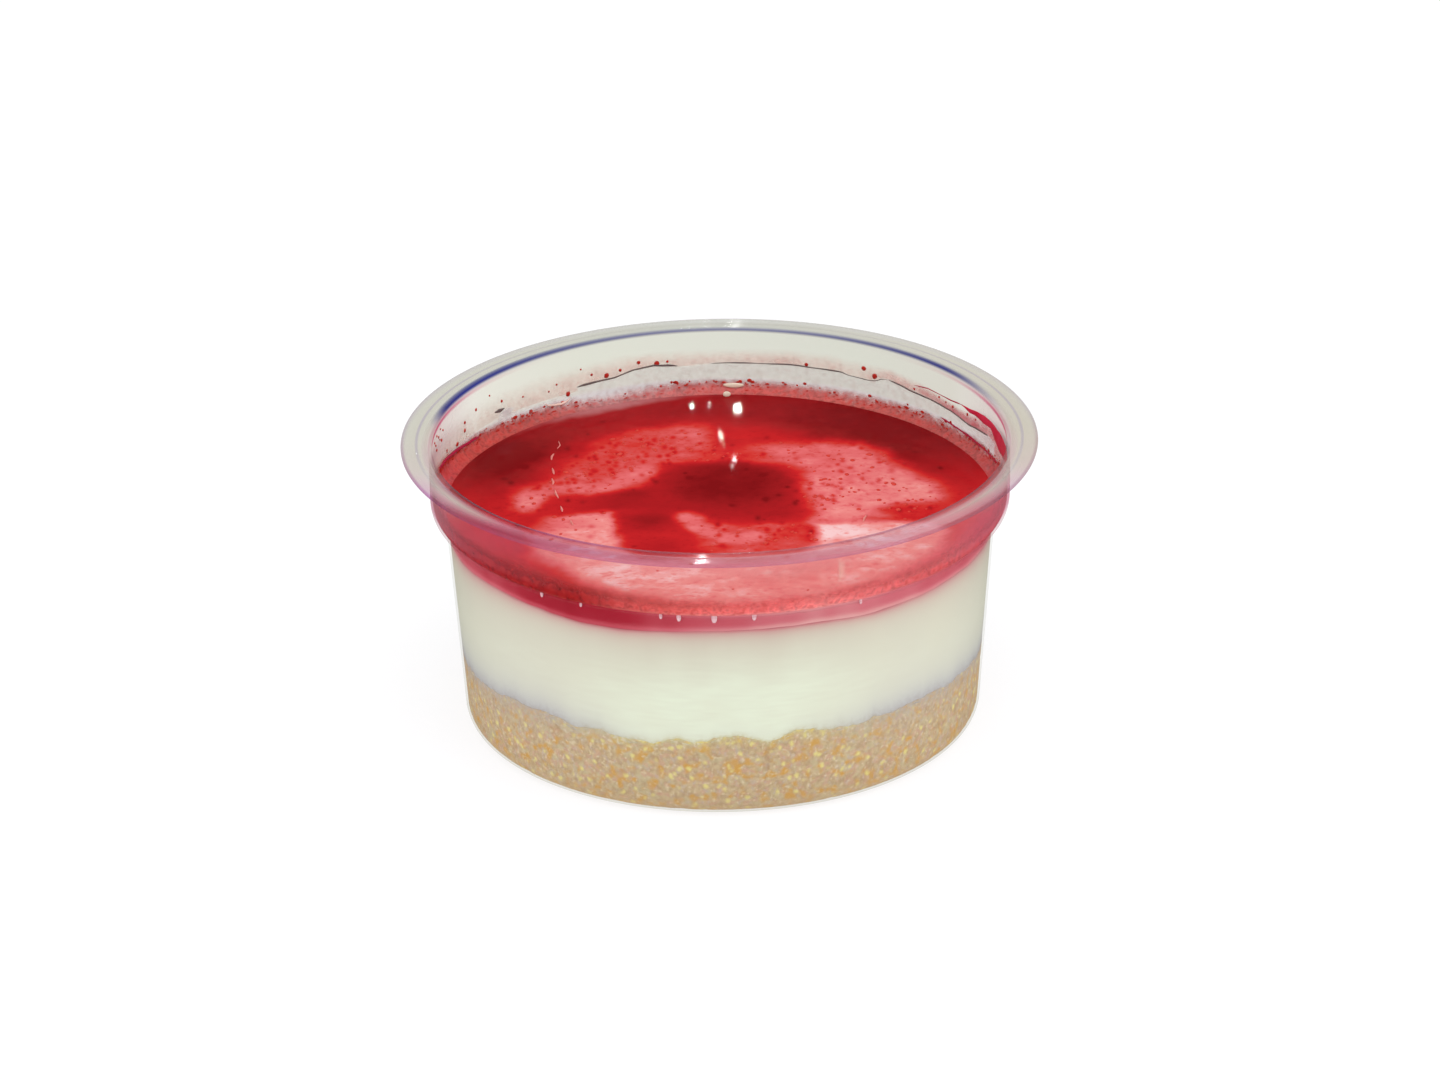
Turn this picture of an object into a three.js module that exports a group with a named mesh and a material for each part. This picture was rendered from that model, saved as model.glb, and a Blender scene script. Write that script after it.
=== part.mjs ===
// A single-serve strawberry cheesecake in a clear plastic cup: a crumbly biscuit base, a white
// cheesecake layer whose top was swirled with a spoon, and strawberry sauce filled up to the cup's
// shoulder. Lengths are millimetres and +Z is up. The origin is the middle of the cup's underside,
// and -Y is the side the cup is seen from.
import * as THREE from 'three';

// The cup
const CUP_HEIGHT = 44.4;
const RIM_RADIUS = 47.75;
const WALL = 0.5;
const BAND_RADIUS = 43.6; // outside of the upright band between shoulder and flange
const SHOULDER_Z = 35.5; // where the shoulder's curve meets the band
const SHOULDER_CURVE = 2.1;
const FOOT_RADIUS = 39.3; // outside of the wall where it meets the heel
const HEEL_CURVE = 2.6;
const FLANGE_FILLET = 0.4;
const RECESS_RADIUS = 32.0; // the underside is pushed up a little inside its standing ring
const RECESS_DEPTH = 0.7;
const RECESS_SLOPE = 1.2;

// The contents
const FIT_GAP = 0.3; // clearance between neighbouring solids
const BISCUIT_TOP = 12.7;
const SAUCE_TOP = 33.9;
const SAUCE_EDGE_DEPTH = 3.0; // depth of the sauce against the wall
const SAUCE_FILM = 0.8; // least depth, where the cheesecake's ridges come near the surface
const SAUCE_EDGE_BLEND = 2.2; // width over which the swirls pass into the even edge
const RIPPLE = { lobes: 2, length: 14, height: 0.12, calmRadius: 10 };

// Fineness of the surfaces
const SEGMENTS = 64;
const CURVE_STEPS = 4;
const FILLET_STEPS = 2;
const BISCUIT_SIDE_ROWS = 2;
const BISCUIT_RINGS = 6;
const SWIRL_RINGS = 15;
const TOP_RINGS = 8;

// Waves round the cup that make the biscuit base's top uneven, phase in radians, and one wave
// that spirals outwards from its calm middle.
const BISCUIT_WAVES = [
  { lobes: 3, phase: 0.6, height: 0.19 },
  { lobes: 7, phase: 2.1, height: 0.17 },
  { lobes: 13, phase: 4.0, height: 0.2 },
];
const BISCUIT_SPIRAL = { lobes: 2, length: 20, height: 0.22, calmRadius: 12 };

// Hollows that the spoon left in the cheesecake, where the sauce lies deep. x and y are the
// middle, along and across are half sizes, turn is in degrees from +X towards +Y.
const HOLLOWS = [
  { name: 'middle pool', x: 0, y: 4.5, along: 13, across: 11, turn: 0, depth: 3.4 },
  { name: 'left arm', x: -17, y: 0.5, along: 11, across: 3.2, turn: 4, depth: 2.2 },
  { name: 'front left arm', x: -10.5, y: -10.5, along: 9.5, across: 5, turn: 95, depth: 2.6 },
  { name: 'front right arm', x: 9, y: -8, along: 10, across: 5.5, turn: -60, depth: 2.0 },
  { name: 'right streak', x: 27, y: -6, along: 8, across: 3, turn: 8, depth: 1.8 },
];
const HOLLOW_FLOOR = 0.55; // a hollow is at its full depth within this share of its half sizes
const HOLLOW_BRIM = 1.25; // and ends at this share

// The trough round the edge: the radius at which it starts, every 30 degrees from +X.
const TROUGH_START = [33.5, 30.5, 26, 28, 30, 30.5, 31, 33, 37, 39, 39, 37];
const TROUGH_DEPTH = 3.2;
const TROUGH_SLOPE = 3.5;

const COLOURS = {
  cup: { color: 0xd7dad0, roughness: 0.08, metalness: 0, transparent: true, opacity: 0.3 },
  biscuit_base: { color: 0xc9a478, roughness: 0.9, metalness: 0 },
  cheesecake: { color: 0xe4e8d2, roughness: 0.55, metalness: 0 },
  strawberry_topping: { color: 0xb3202a, roughness: 0.18, metalness: 0 },
};

const { degToRad, smoothstep, lerp } = THREE.MathUtils;

// Points of an elliptical arc in the (radius, height) plane, angles in degrees from +radius.
function arc(centreR, centreZ, radiusR, radiusZ, from, to, steps) {
  return Array.from({ length: steps + 1 }, (_, i) => {
    const angle = degToRad(lerp(from, to, i / steps));
    return [centreR + radiusR * Math.cos(angle), centreZ + radiusZ * Math.sin(angle)];
  });
}

// The inside radius of the cup's lower wall, with the heel's curve below it.
function insideRadius(z) {
  const shoulderFoot = SHOULDER_Z - SHOULDER_CURVE;
  const height = Math.max(z, HEEL_CURVE) - HEEL_CURVE;
  const taper = (BAND_RADIUS - SHOULDER_CURVE - FOOT_RADIUS) / (shoulderFoot - HEEL_CURVE);
  const wall = FOOT_RADIUS + taper * height - WALL;
  if (z >= HEEL_CURVE) return wall;
  const curve = HEEL_CURVE - WALL;
  return wall - curve + Math.sqrt(Math.max(0, curve ** 2 - (HEEL_CURVE - z) ** 2));
}

// A closed solid whose profile changes with the angle. profileAt(angle) lists [radius, height]
// from the axis below, out and round, to the axis above, with the same count at every angle.
// Each four-sided face is split from its inner corner at one angle to its outer corner at the
// next, above and below alike, so that layers with the same waves lie parallel.
function turnedSolid(profileAt) {
  const profiles = Array.from({ length: SEGMENTS }, (_, j) => profileAt((2 * Math.PI * j) / SEGMENTS));
  const last = profiles[0].length - 1;
  const positions = [0, 0, profiles[0][0][1], 0, 0, profiles[0][last][1]];
  profiles.forEach((profile, j) => {
    const angle = (2 * Math.PI * j) / SEGMENTS;
    for (const [r, z] of profile.slice(1, last)) {
      positions.push(r * Math.cos(angle), r * Math.sin(angle), z);
    }
  });
  const vertex = (j, k) => {
    if (k === 0) return 0;
    if (k === last) return 1;
    return 2 + (j % SEGMENTS) * (last - 1) + k - 1;
  };
  const index = [];
  for (let j = 0; j < SEGMENTS; j++) {
    index.push(vertex(j, 0), vertex(j + 1, 1), vertex(j, 1));
    index.push(vertex(j, last), vertex(j, last - 1), vertex(j + 1, last - 1));
    for (let k = 1; k < last - 1; k++) {
      const [a, b] = [vertex(j, k), vertex(j + 1, k)];
      const [c, d] = [vertex(j + 1, k + 1), vertex(j, k + 1)];
      const outwards = profiles[j][k + 1][0] >= profiles[j][k][0];
      index.push(...(outwards ? [a, b, c, a, c, d] : [a, b, d, b, c, d]));
    }
  }
  const geometry = new THREE.BufferGeometry();
  geometry.setAttribute('position', new THREE.Float32BufferAttribute(positions, 3));
  geometry.setIndex(index);
  geometry.computeVertexNormals();
  return geometry;
}

// A thin shell from a flat foot with a pushed-up middle, up the tapered wall and over the rounded
// shoulder to the flat flange with its rounded edge, then back down the inside.
function cupGeometry() {
  const shoulderRadius = BAND_RADIUS - SHOULDER_CURVE;
  const heelRadius = FOOT_RADIUS - HEEL_CURVE;
  const underFlange = CUP_HEIGHT - WALL;
  const filletRadius = BAND_RADIUS - WALL + FLANGE_FILLET;
  const filletZ = CUP_HEIGHT - FLANGE_FILLET;
  const rimRound = WALL / 2;
  const heelInside = HEEL_CURVE - WALL;
  const shoulderInside = SHOULDER_CURVE - WALL;
  const profile = [
    [0, RECESS_DEPTH],
    [RECESS_RADIUS, RECESS_DEPTH],
    [RECESS_RADIUS + RECESS_SLOPE, 0],
    ...arc(heelRadius, HEEL_CURVE, HEEL_CURVE, HEEL_CURVE, -90, 0, CURVE_STEPS),
    ...arc(shoulderRadius, SHOULDER_Z, SHOULDER_CURVE, SHOULDER_CURVE, -90, 0, CURVE_STEPS),
    [BAND_RADIUS, underFlange - FLANGE_FILLET],
    [BAND_RADIUS + FLANGE_FILLET, underFlange],
    ...arc(RIM_RADIUS - rimRound, CUP_HEIGHT - rimRound, rimRound, rimRound, -90, 90, CURVE_STEPS),
    ...arc(filletRadius, filletZ, FLANGE_FILLET, FLANGE_FILLET, 90, 180, FILLET_STEPS),
    ...arc(shoulderRadius, SHOULDER_Z, shoulderInside, shoulderInside, 0, -90, CURVE_STEPS),
    [shoulderRadius - WALL, SHOULDER_Z - SHOULDER_CURVE],
    ...arc(heelRadius, HEEL_CURVE, heelInside, heelInside, 0, -90, CURVE_STEPS),
    [RECESS_RADIUS + RECESS_SLOPE, WALL],
    [RECESS_RADIUS, RECESS_DEPTH + WALL],
    [0, RECESS_DEPTH + WALL],
  ];
  const geometry = new THREE.LatheGeometry(profile.map(([r, z]) => new THREE.Vector2(r, z)), SEGMENTS);
  return geometry.rotateX(Math.PI / 2);
}

// A wave that winds outwards from a calm middle, so that the surface stays smooth at the axis.
function spiral({ lobes, length, height, calmRadius }, r, angle) {
  return height * Math.min(1, r / calmRadius) * Math.sin((2 * Math.PI * r) / length + lobes * angle);
}

// Height of the biscuit base's uneven top.
function biscuitTop(r, angle) {
  const round = BISCUIT_WAVES.map(({ lobes, phase, height }) => height * Math.sin(lobes * angle + phase));
  const waves = round.reduce((sum, wave) => sum + wave, 0);
  const fade = Math.min(1, r / BISCUIT_SPIRAL.calmRadius);
  return BISCUIT_TOP + fade * waves + spiral(BISCUIT_SPIRAL, r, angle);
}

// How much of a hollow's depth counts at a point: all of it in the middle, none outside.
function share(hollow, x, y) {
  const turn = degToRad(hollow.turn);
  const dx = x - hollow.x;
  const dy = y - hollow.y;
  const along = (dx * Math.cos(turn) + dy * Math.sin(turn)) / hollow.along;
  const across = (dy * Math.cos(turn) - dx * Math.sin(turn)) / hollow.across;
  return 1 - smoothstep(Math.hypot(along, across), HOLLOW_FLOOR, HOLLOW_BRIM);
}

// Depth of the sauce over the cheesecake's swirled top.
function sauceDepth(r, angle) {
  const x = r * Math.cos(angle);
  const y = r * Math.sin(angle);
  const place = (angle / (2 * Math.PI)) * TROUGH_START.length;
  const before = Math.floor(place) % TROUGH_START.length;
  const after = (before + 1) % TROUGH_START.length;
  const start = lerp(TROUGH_START[before], TROUGH_START[after], place - Math.floor(place));
  const trough = TROUGH_DEPTH * smoothstep(r, start - TROUGH_SLOPE / 2, start + TROUGH_SLOPE / 2);
  const hollows = HOLLOWS.map((hollow) => hollow.depth * share(hollow, x, y));
  const depth = Math.max(SAUCE_FILM, trough, ...hollows);
  const edge = insideRadius(SAUCE_TOP - SAUCE_EDGE_DEPTH) - FIT_GAP;
  return lerp(depth, SAUCE_EDGE_DEPTH, smoothstep(r, edge - SAUCE_EDGE_BLEND, edge));
}

// Points [radius, height] of a surface from the axis to the wall, at one angle.
function surface(rings, edgeRadius, heightAt) {
  return Array.from({ length: rings + 1 }, (_, i) => {
    const r = (edgeRadius * i) / rings;
    return [r, heightAt(r)];
  });
}

// The biscuit base fills the cup's foot, over the pushed-up floor.
function biscuitGeometry() {
  const floor = WALL + FIT_GAP;
  const heelInside = HEEL_CURVE - floor;
  return turnedSolid((angle) => {
    const edge = insideRadius(BISCUIT_TOP) - FIT_GAP;
    const topZ = biscuitTop(edge, angle);
    const side = Array.from({ length: BISCUIT_SIDE_ROWS }, (_, i) => {
      const z = lerp(HEEL_CURVE, topZ, (i + 1) / (BISCUIT_SIDE_ROWS + 1));
      return [insideRadius(z) - FIT_GAP, z];
    });
    return [
      [0, floor + RECESS_DEPTH],
      [RECESS_RADIUS, floor + RECESS_DEPTH],
      [RECESS_RADIUS + RECESS_SLOPE, floor],
      ...arc(FOOT_RADIUS - HEEL_CURVE, HEEL_CURVE, heelInside, heelInside, -90, 0, CURVE_STEPS),
      ...side,
      ...surface(BISCUIT_RINGS, edge, (r) => biscuitTop(r, angle)).reverse(),
    ];
  });
}

// The cheesecake layer lies on the biscuit base and carries the swirls on top.
function cheesecakeGeometry() {
  return turnedSolid((angle) => {
    const lowEdge = insideRadius(BISCUIT_TOP) - FIT_GAP;
    const highEdge = insideRadius(SAUCE_TOP - SAUCE_EDGE_DEPTH) - FIT_GAP;
    const underside = surface(BISCUIT_RINGS, lowEdge, (r) => biscuitTop(r, angle) + FIT_GAP);
    const swirls = surface(SWIRL_RINGS, highEdge, (r) => SAUCE_TOP - sauceDepth(r, angle) - FIT_GAP);
    return [...underside, ...swirls.reverse()];
  });
}

// The sauce fills the swirls and is level with the cup's shoulder.
function toppingGeometry() {
  return turnedSolid((angle) => {
    const lowEdge = insideRadius(SAUCE_TOP - SAUCE_EDGE_DEPTH) - FIT_GAP;
    const highEdge = insideRadius(SHOULDER_Z - SHOULDER_CURVE) - FIT_GAP;
    const underside = surface(SWIRL_RINGS, lowEdge, (r) => SAUCE_TOP - sauceDepth(r, angle));
    const top = surface(TOP_RINGS, highEdge, (r) => SAUCE_TOP + spiral(RIPPLE, r, angle));
    return [...underside, ...top.reverse()];
  });
}

function piece(name, geometry) {
  const mesh = new THREE.Mesh(geometry, new THREE.MeshStandardMaterial(COLOURS[name]));
  mesh.name = name;
  return mesh;
}

const cheesecakeCup = new THREE.Group();
cheesecakeCup.name = 'strawberry_cheesecake_cup';
cheesecakeCup.add(piece('cup', cupGeometry()));
cheesecakeCup.add(piece('biscuit_base', biscuitGeometry()));
cheesecakeCup.add(piece('cheesecake', cheesecakeGeometry()));
cheesecakeCup.add(piece('strawberry_topping', toppingGeometry()));

export default cheesecakeCup;
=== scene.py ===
# A single-serve strawberry cheesecake in a clear plastic cup: a pressed crumb base, a white
# cheesecake layer and strawberry sauce lying deep in the swirls and thin over the ridges.
# Lengths are millimetres in the part's own frame, and become metres when a mesh is made.
# Angles round the cup are degrees from the front (-Y), positive towards the right (+X).
import itertools
import math

import bpy
import numpy as np
from mathutils import Matrix, Vector


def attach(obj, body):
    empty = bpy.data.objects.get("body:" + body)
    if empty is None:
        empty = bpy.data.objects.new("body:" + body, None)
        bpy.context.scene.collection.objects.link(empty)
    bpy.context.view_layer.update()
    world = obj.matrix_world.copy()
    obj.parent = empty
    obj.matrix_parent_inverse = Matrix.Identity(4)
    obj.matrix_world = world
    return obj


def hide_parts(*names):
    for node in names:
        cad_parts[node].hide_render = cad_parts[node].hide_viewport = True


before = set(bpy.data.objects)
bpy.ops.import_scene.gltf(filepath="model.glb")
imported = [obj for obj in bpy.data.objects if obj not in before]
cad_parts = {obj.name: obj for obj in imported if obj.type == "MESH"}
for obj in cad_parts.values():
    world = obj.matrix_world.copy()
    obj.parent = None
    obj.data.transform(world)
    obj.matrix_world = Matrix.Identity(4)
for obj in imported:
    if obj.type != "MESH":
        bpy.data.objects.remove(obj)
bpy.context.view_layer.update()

MM = 0.001

# The cup
CUP_HEIGHT = 44.4
RIM_RADIUS = 47.75
WALL = 0.5
GROOVE_RADIUS = 45.4
BAND_RADIUS = 43.6
SHOULDER_Z = 35.5
SHOULDER_CURVE = 2.1
SHOULDER_RADIUS = BAND_RADIUS - SHOULDER_CURVE
WALL_TOP = SHOULDER_Z - SHOULDER_CURVE
BAND_INSIDE = BAND_RADIUS - WALL
SHOULDER_INSIDE = SHOULDER_RADIUS - WALL
FOOT_RADIUS = 39.3
HEEL_CURVE = 2.6
FLANGE_FILLET = 0.4
RECESS_RADIUS = 32.0
RECESS_DEPTH = 0.7
RECESS_SLOPE = 1.2

# The contents
GRIP = 0.15  # how far the contents reach into the wall, so that no air shows between them
SAUCE_TOP = 33.9
SAUCE_FILM = 0.8
SAUCE_DEPTH = 3.4
LAYER_GAP = 0.05
EDGE_GAP = 0.01  # between the layers where they show at the wall
CRUMB_LEVEL = 12.7
OVERLAP = 0.6  # how far the cheesecake's side reaches down behind the crumb's uneven edge

# The camera, from a fit of the cup's circles to the photograph of 1440 by 1080 pixels
ELEVATION = math.radians(22.76)
DISTANCE = 787.8
ROLL = math.radians(-0.81)
FOCAL_PX = 5253.0
PHOTO_SIZE = (1440.0, 1080.0)
RIM_CENTRE_PX = (719.2, 434.97)

# Light that the part gets, as a share of what shows a white face as white
LIGHT = 1.02


def smoothstep(value, low, high):
    share = np.clip((value - low) / (high - low), 0.0, 1.0)
    return share * share * (3.0 - 2.0 * share)


def lerp(a, b, share):
    return a + (b - a) * share


def near(value, middle, width):
    """A soft peak, 1 at the middle and 0 well away from it."""
    return np.exp(-((value - middle) / width) ** 2)


def fade(distance, reach):
    """1 down to zero distance and dying away over about the reach beyond it."""
    return np.exp(-np.maximum(distance, 0.0) / reach)


NOISE_CELLS = 64
NOISE_TABLE = np.random.RandomState(11).rand(NOISE_CELLS, NOISE_CELLS, NOISE_CELLS)


def noise(points, size, seed=0):
    """Smooth noise between 0 and 1 with features of the given size, at points (..., xyz)."""
    place = np.asarray(points, float) / size + 100.0 + 7.31 * seed
    base = np.floor(place).astype(int)
    share = place - base
    share = share * share * (3.0 - 2.0 * share)
    total = np.zeros(place.shape[:-1])
    for corner in itertools.product((0, 1), repeat=3):
        cell = (base + corner) % NOISE_CELLS
        weight = np.prod(np.where(corner, share, 1.0 - share), axis=-1)
        total += weight * NOISE_TABLE[cell[..., 0], cell[..., 1], cell[..., 2]]
    return total


def rough(points, size, seed=0, octaves=3):
    """Noise between 0 and 1 with finer detail on top of coarser."""
    total = 0.0
    weight = 0.0
    for octave in range(octaves):
        share = 0.5 ** octave
        total = total + share * noise(points, size * share, seed + 3 * octave)
        weight += share
    return total / weight


def round_table(front_degrees, table):
    """Values between the (degrees from front, value) pairs of a table that goes round the cup."""
    degrees, values = zip(*table)
    return np.interp(front_degrees, degrees, values, period=360.0)


def round_colours(front_degrees, table):
    """Colours between the (degrees from front, colour) pairs of a table that goes round the cup."""
    degrees, colours = zip(*table)
    parts = [np.interp(front_degrees, degrees, part, period=360.0) for part in zip(*colours)]
    return np.stack(parts, axis=-1)


def front_angle(x, y):
    return np.degrees(np.arctan2(x, -y))


# Meshes

def stack(x, y, z):
    """Points from coordinates that are spread over one another."""
    return np.stack(np.broadcast_arrays(x, y, z), axis=-1)


def compass(count):
    """Outward unit vectors at even steps round the cup, and their angles from the front."""
    turn = np.linspace(0.0, 2.0 * np.pi, count, endpoint=False)
    outward = np.stack([np.sin(turn), -np.cos(turn)], axis=-1)
    return outward, front_angle(outward[:, 0], outward[:, 1])


def round_points(radius, outward, z):
    """Points at a radius along each outward vector and at a height."""
    return stack(radius * outward[:, 0], radius * outward[:, 1], z)


def polar(radii, count):
    """Level coordinates x and y on rings of the given radii."""
    outward, _ = compass(count)
    return radii[:, None] * outward[:, 0], radii[:, None] * outward[:, 1]


def spin(profile, count):
    """Rings of points (station, angle, xyz) from a profile of (radius, height)."""
    profile = np.asarray(profile, float)
    return round_points(profile[:, :1], compass(count)[0], profile[:, 1:])


def arc(centre_r, centre_z, radius_r, radius_z, start, end, steps):
    """Points (radius, height) of an elliptical arc, angles in degrees from +radius."""
    turn = np.radians(np.linspace(start, end, steps + 1))
    return list(zip(centre_r + radius_r * np.cos(turn), centre_z + radius_z * np.sin(turn)))


def ring_quads(stations, count, first=0, join=False):
    """Four-sided faces between neighbouring rings, and from the last ring to the first to join."""
    rows = np.arange(stations if join else stations - 1)
    row = rows[:, None]
    column = np.arange(count)[None, :]
    after = (column + 1) % count
    above = (row + 1) % stations
    corners = [row * count + column, row * count + after, above * count + after, above * count + column]
    return (np.stack(np.broadcast_arrays(*corners), axis=-1).reshape(-1, 4) + first).tolist()


def closed_solid(rings, values=None):
    """Points, faces and point values of a solid whose first and last rings lie on the axis."""
    stations, count, _ = rings.shape
    faces = ring_quads(stations - 2, count, first=1)
    top = (stations - 2) * count + 1
    upper = top - count
    for column in range(count):
        after = (column + 1) % count
        faces.append((0, 1 + after, 1 + column))
        faces.append((top, upper + column, upper + after))
    flat = {key: without_doubles(field) for key, field in (values or {}).items()}
    return without_doubles(rings), faces, flat


def without_doubles(field):
    """A field of rings as one list, with one entry each for its first and its last ring."""
    return np.concatenate([field[0, :1], field[1:-1].reshape(-1, *field.shape[2:]), field[-1, :1]])


def hoop_solid(rings, values):
    """Points, faces and point values of a hoop whose last ring joins its first."""
    stations, count, _ = rings.shape
    flat = {key: field.reshape(-1, *field.shape[2:]) for key, field in values.items()}
    return rings.reshape(-1, 3), ring_quads(stations, count, join=True), flat


def new_object(name, points, faces, material):
    """A mesh object in metres from points in millimetres."""
    mesh = bpy.data.meshes.new(name)
    mesh.from_pydata((np.asarray(points, float) * MM).tolist(), [], faces)
    mesh.materials.append(material)
    made = bpy.data.objects.new(name, mesh)
    bpy.context.scene.collection.objects.link(made)
    return made


def add_piece(name, solid, material, replaced=None):
    """Makes a smooth object that rides on the part, from points, faces and values by attribute."""
    points, faces, values = solid
    piece = new_object(name, points, faces, material)
    mesh = piece.data
    mesh.polygons.foreach_set("use_smooth", [True] * len(mesh.polygons))
    for key, field in values.items():
        if field.ndim == 1:
            mesh.attributes.new(key, "FLOAT", "POINT").data.foreach_set("value", field)
        else:
            colours = np.ones((len(field), 4))
            colours[:, :3] = field
            mesh.attributes.new(key, "FLOAT_COLOR", "POINT").data.foreach_set("color", colours.ravel())
    mesh.update()
    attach(piece, "root")
    if replaced:
        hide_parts(replaced)


# Materials

WHITE = (1.0, 1.0, 1.0, 1.0)
PALEST = 0.97  # the most that a surface gives back


def shades(colours):
    """The surface colours that show as an array of sRGB colours, each part from 0 to 255."""
    parts = np.asarray(colours, float) / 255.0
    parts = np.where(parts <= 0.04045, parts / 12.92, ((parts + 0.055) / 1.055) ** 2.4)
    return np.minimum(parts / LIGHT, PALEST)


def shade(red, green, blue):
    return (*shades((red, green, blue)), 1.0)


class Shader:
    """The node tree of a material or world. Inputs are values, sockets or names of mesh values."""

    def __init__(self, owner):
        self.owner = owner
        owner.use_nodes = True
        self.tree = owner.node_tree
        self.tree.nodes.clear()

    def add(self, kind, inputs=None, output=0, **settings):
        """Adds a node with its settings and inputs, and gives back one of its outputs."""
        made = self.tree.nodes.new("ShaderNode" + kind)
        for key, value in settings.items():
            setattr(made, key, value)
        for key, value in (inputs or {}).items():
            if isinstance(value, str):
                value = self.attribute(value)
            if isinstance(value, bpy.types.NodeSocket):
                self.tree.links.new(value, made.inputs[key])
            else:
                made.inputs[key].default_value = value
        return made.outputs[output]

    def attribute(self, name, output="Fac"):
        return self.add("Attribute", output=output, attribute_name=name)

    def mix(self, factor, first, second, blend="MIX"):
        inputs = {0: factor, 6: first, 7: second}
        return self.add("Mix", inputs, 2, data_type="RGBA", blend_type=blend)

    def cover(self, colour, *others):
        """A colour with others over it, each given as its cover and its sRGB parts."""
        for share, parts in others:
            colour = self.mix(share, colour, shade(*parts))
        return colour

    def mix_shaders(self, factor, first, second):
        return self.add("MixShader", {0: factor, 1: first, 2: second})

    def math(self, operation, first, second, clamp=False):
        return self.add("Math", {0: first, 1: second}, operation=operation, use_clamp=clamp)

    def noise(self, size, stretch=(1.0, 1.0, 1.0), detail=2.0):
        """Noise with features of about the given size in millimetres."""
        place = self.add("TexCoord", output="Object")
        scaled = self.add("Mapping", {"Vector": place, "Scale": stretch})
        return self.add("TexNoise", {"Vector": scaled, "Scale": 1.0 / (size * MM), "Detail": detail})

    def span(self, value, low, high, to_low=0.0, to_high=1.0):
        """A value brought from one span to another."""
        ends = {"From Min": low, "From Max": high, "To Min": to_low, "To Max": to_high}
        return self.add("MapRange", {"Value": value, **ends})

    def patches(self, size, low, high, to_low=0.0, to_high=1.0, **look):
        """Patches of the given size, as noise brought from one span to another."""
        return self.span(self.noise(size, **look), low, high, to_low, to_high)

    def grainy(self, name):
        """A value of the mesh, broken up into fine grains."""
        return self.math("MULTIPLY", name, self.patches(0.5, 0.4, 0.6, 0.55, 1.2), clamp=True)

    def spots(self, size, unevenness):
        """Distance from scattered points, in shares of their spacing, so much out of round."""
        place = self.add("TexCoord", output="Object")
        sway = self.add("TexNoise", {"Vector": place, "Scale": 1.6 / (size * MM), "Detail": 2.0}, "Color")
        away = self.add("VectorMath", {0: sway, 1: (0.5, 0.5, 0.5)}, operation="SUBTRACT")
        shift = self.add("VectorMath", {0: away, "Scale": unevenness * size * MM}, operation="SCALE")
        moved = self.add("VectorMath", {0: place, 1: shift}, operation="ADD")
        return self.add("TexVoronoi", {"Vector": moved, "Scale": 1.0 / (size * MM)})

    def ramp(self, value, stops):
        """A colour ramp through (place, sRGB colour) stops."""
        colour = self.add("ValToRGB", {"Fac": value})
        elements = colour.node.color_ramp.elements
        for index, (place, stop) in enumerate(stops):
            element = elements[index] if index < 2 else elements.new(place)
            element.position = place
            element.color = shade(*stop)
        return colour

    def bump(self, height, distance, strength=1.0):
        """A bump as high as the given number of millimetres."""
        return self.add("Bump", {"Height": height, "Distance": distance * MM, "Strength": strength})

    def food(self, colour, roughness, normal=None, specular=0.3, alpha=1.0):
        """Finishes a material of food, wet or dry as its roughness and specular say."""
        inputs = {"Base Color": colour, "Roughness": roughness, "Specular IOR Level": specular}
        if normal is not None:
            inputs["Normal"] = normal
        return self.finish(self.add("BsdfPrincipled", {**inputs, "Alpha": alpha}))

    def finish(self, surface, kind="OutputMaterial"):
        output = self.tree.nodes.new("ShaderNode" + kind)
        self.tree.links.new(surface, output.inputs["Surface"])
        return self.owner


def material_shader(name):
    return Shader(bpy.data.materials.new(name))


# The clear plastic: how much it darkens where it is seen at a low angle, the duller patches of its
# haze, and how much light it mirrors, as a share of what its angle gives and at most
RIM_DARKNESS = 0.05
RIM_COLOUR = (0.45, 0.43, 0.42, 1.0)
DULL_HAZE = (0.92, 0.92, 0.92, 1.0)
PLASTIC_IOR = 1.4
GLOSS = 0.2
MOST_GLOSS = 0.04


def clear_plastic_material():
    """Thin clear plastic whose tint and haze come from the mesh, glossier at a low angle."""
    shader = material_shader("clear_plastic")
    edge = shader.add("LayerWeight", {"Blend": 0.5}, "Facing")
    rim = shader.math("MULTIPLY", shader.math("POWER", edge, 7.0), RIM_DARKNESS)
    tint = shader.mix(rim, shader.attribute("tint", "Color"), RIM_COLOUR, "MULTIPLY")
    through = shader.add("BsdfTransparent", {"Color": tint})
    cloud = shader.mix(shader.noise(4.0), DULL_HAZE, WHITE)
    cloud = shader.mix(1.0, cloud, shader.attribute("milk", "Color"), "MULTIPLY")
    body = shader.mix_shaders("haze", through, shader.add("BsdfDiffuse", {"Color": cloud}))
    fresnel = shader.add("Fresnel", {"IOR": PLASTIC_IOR})
    outside = shader.math("SUBTRACT", 1.0, shader.add("NewGeometry", output="Backfacing"))
    mirrored = shader.math("MULTIPLY", shader.math("MULTIPLY", fresnel, outside), GLOSS)
    wave = shader.bump(shader.noise(6.0, detail=1.0), 0.05, 0.2)
    gloss = shader.add("BsdfGlossy", {"Color": WHITE, "Roughness": 0.04, "Normal": wave})
    return shader.finish(shader.mix_shaders(shader.math("MINIMUM", mirrored, MOST_GLOSS), body, gloss))


# Displayed colours of the sauce from its thinnest over the cheesecake to its deepest
SAUCE_COLOURS = [
    (0.0, (240, 198, 198)), (0.12, (231, 138, 134)), (0.25, (221, 106, 108)), (0.4, (206, 74, 72)),
    (0.5, (204, 54, 48)), (0.6, (198, 35, 38)), (0.75, (174, 28, 33)), (0.88, (148, 24, 28)),
    (1.0, (124, 16, 20)),
]

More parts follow.
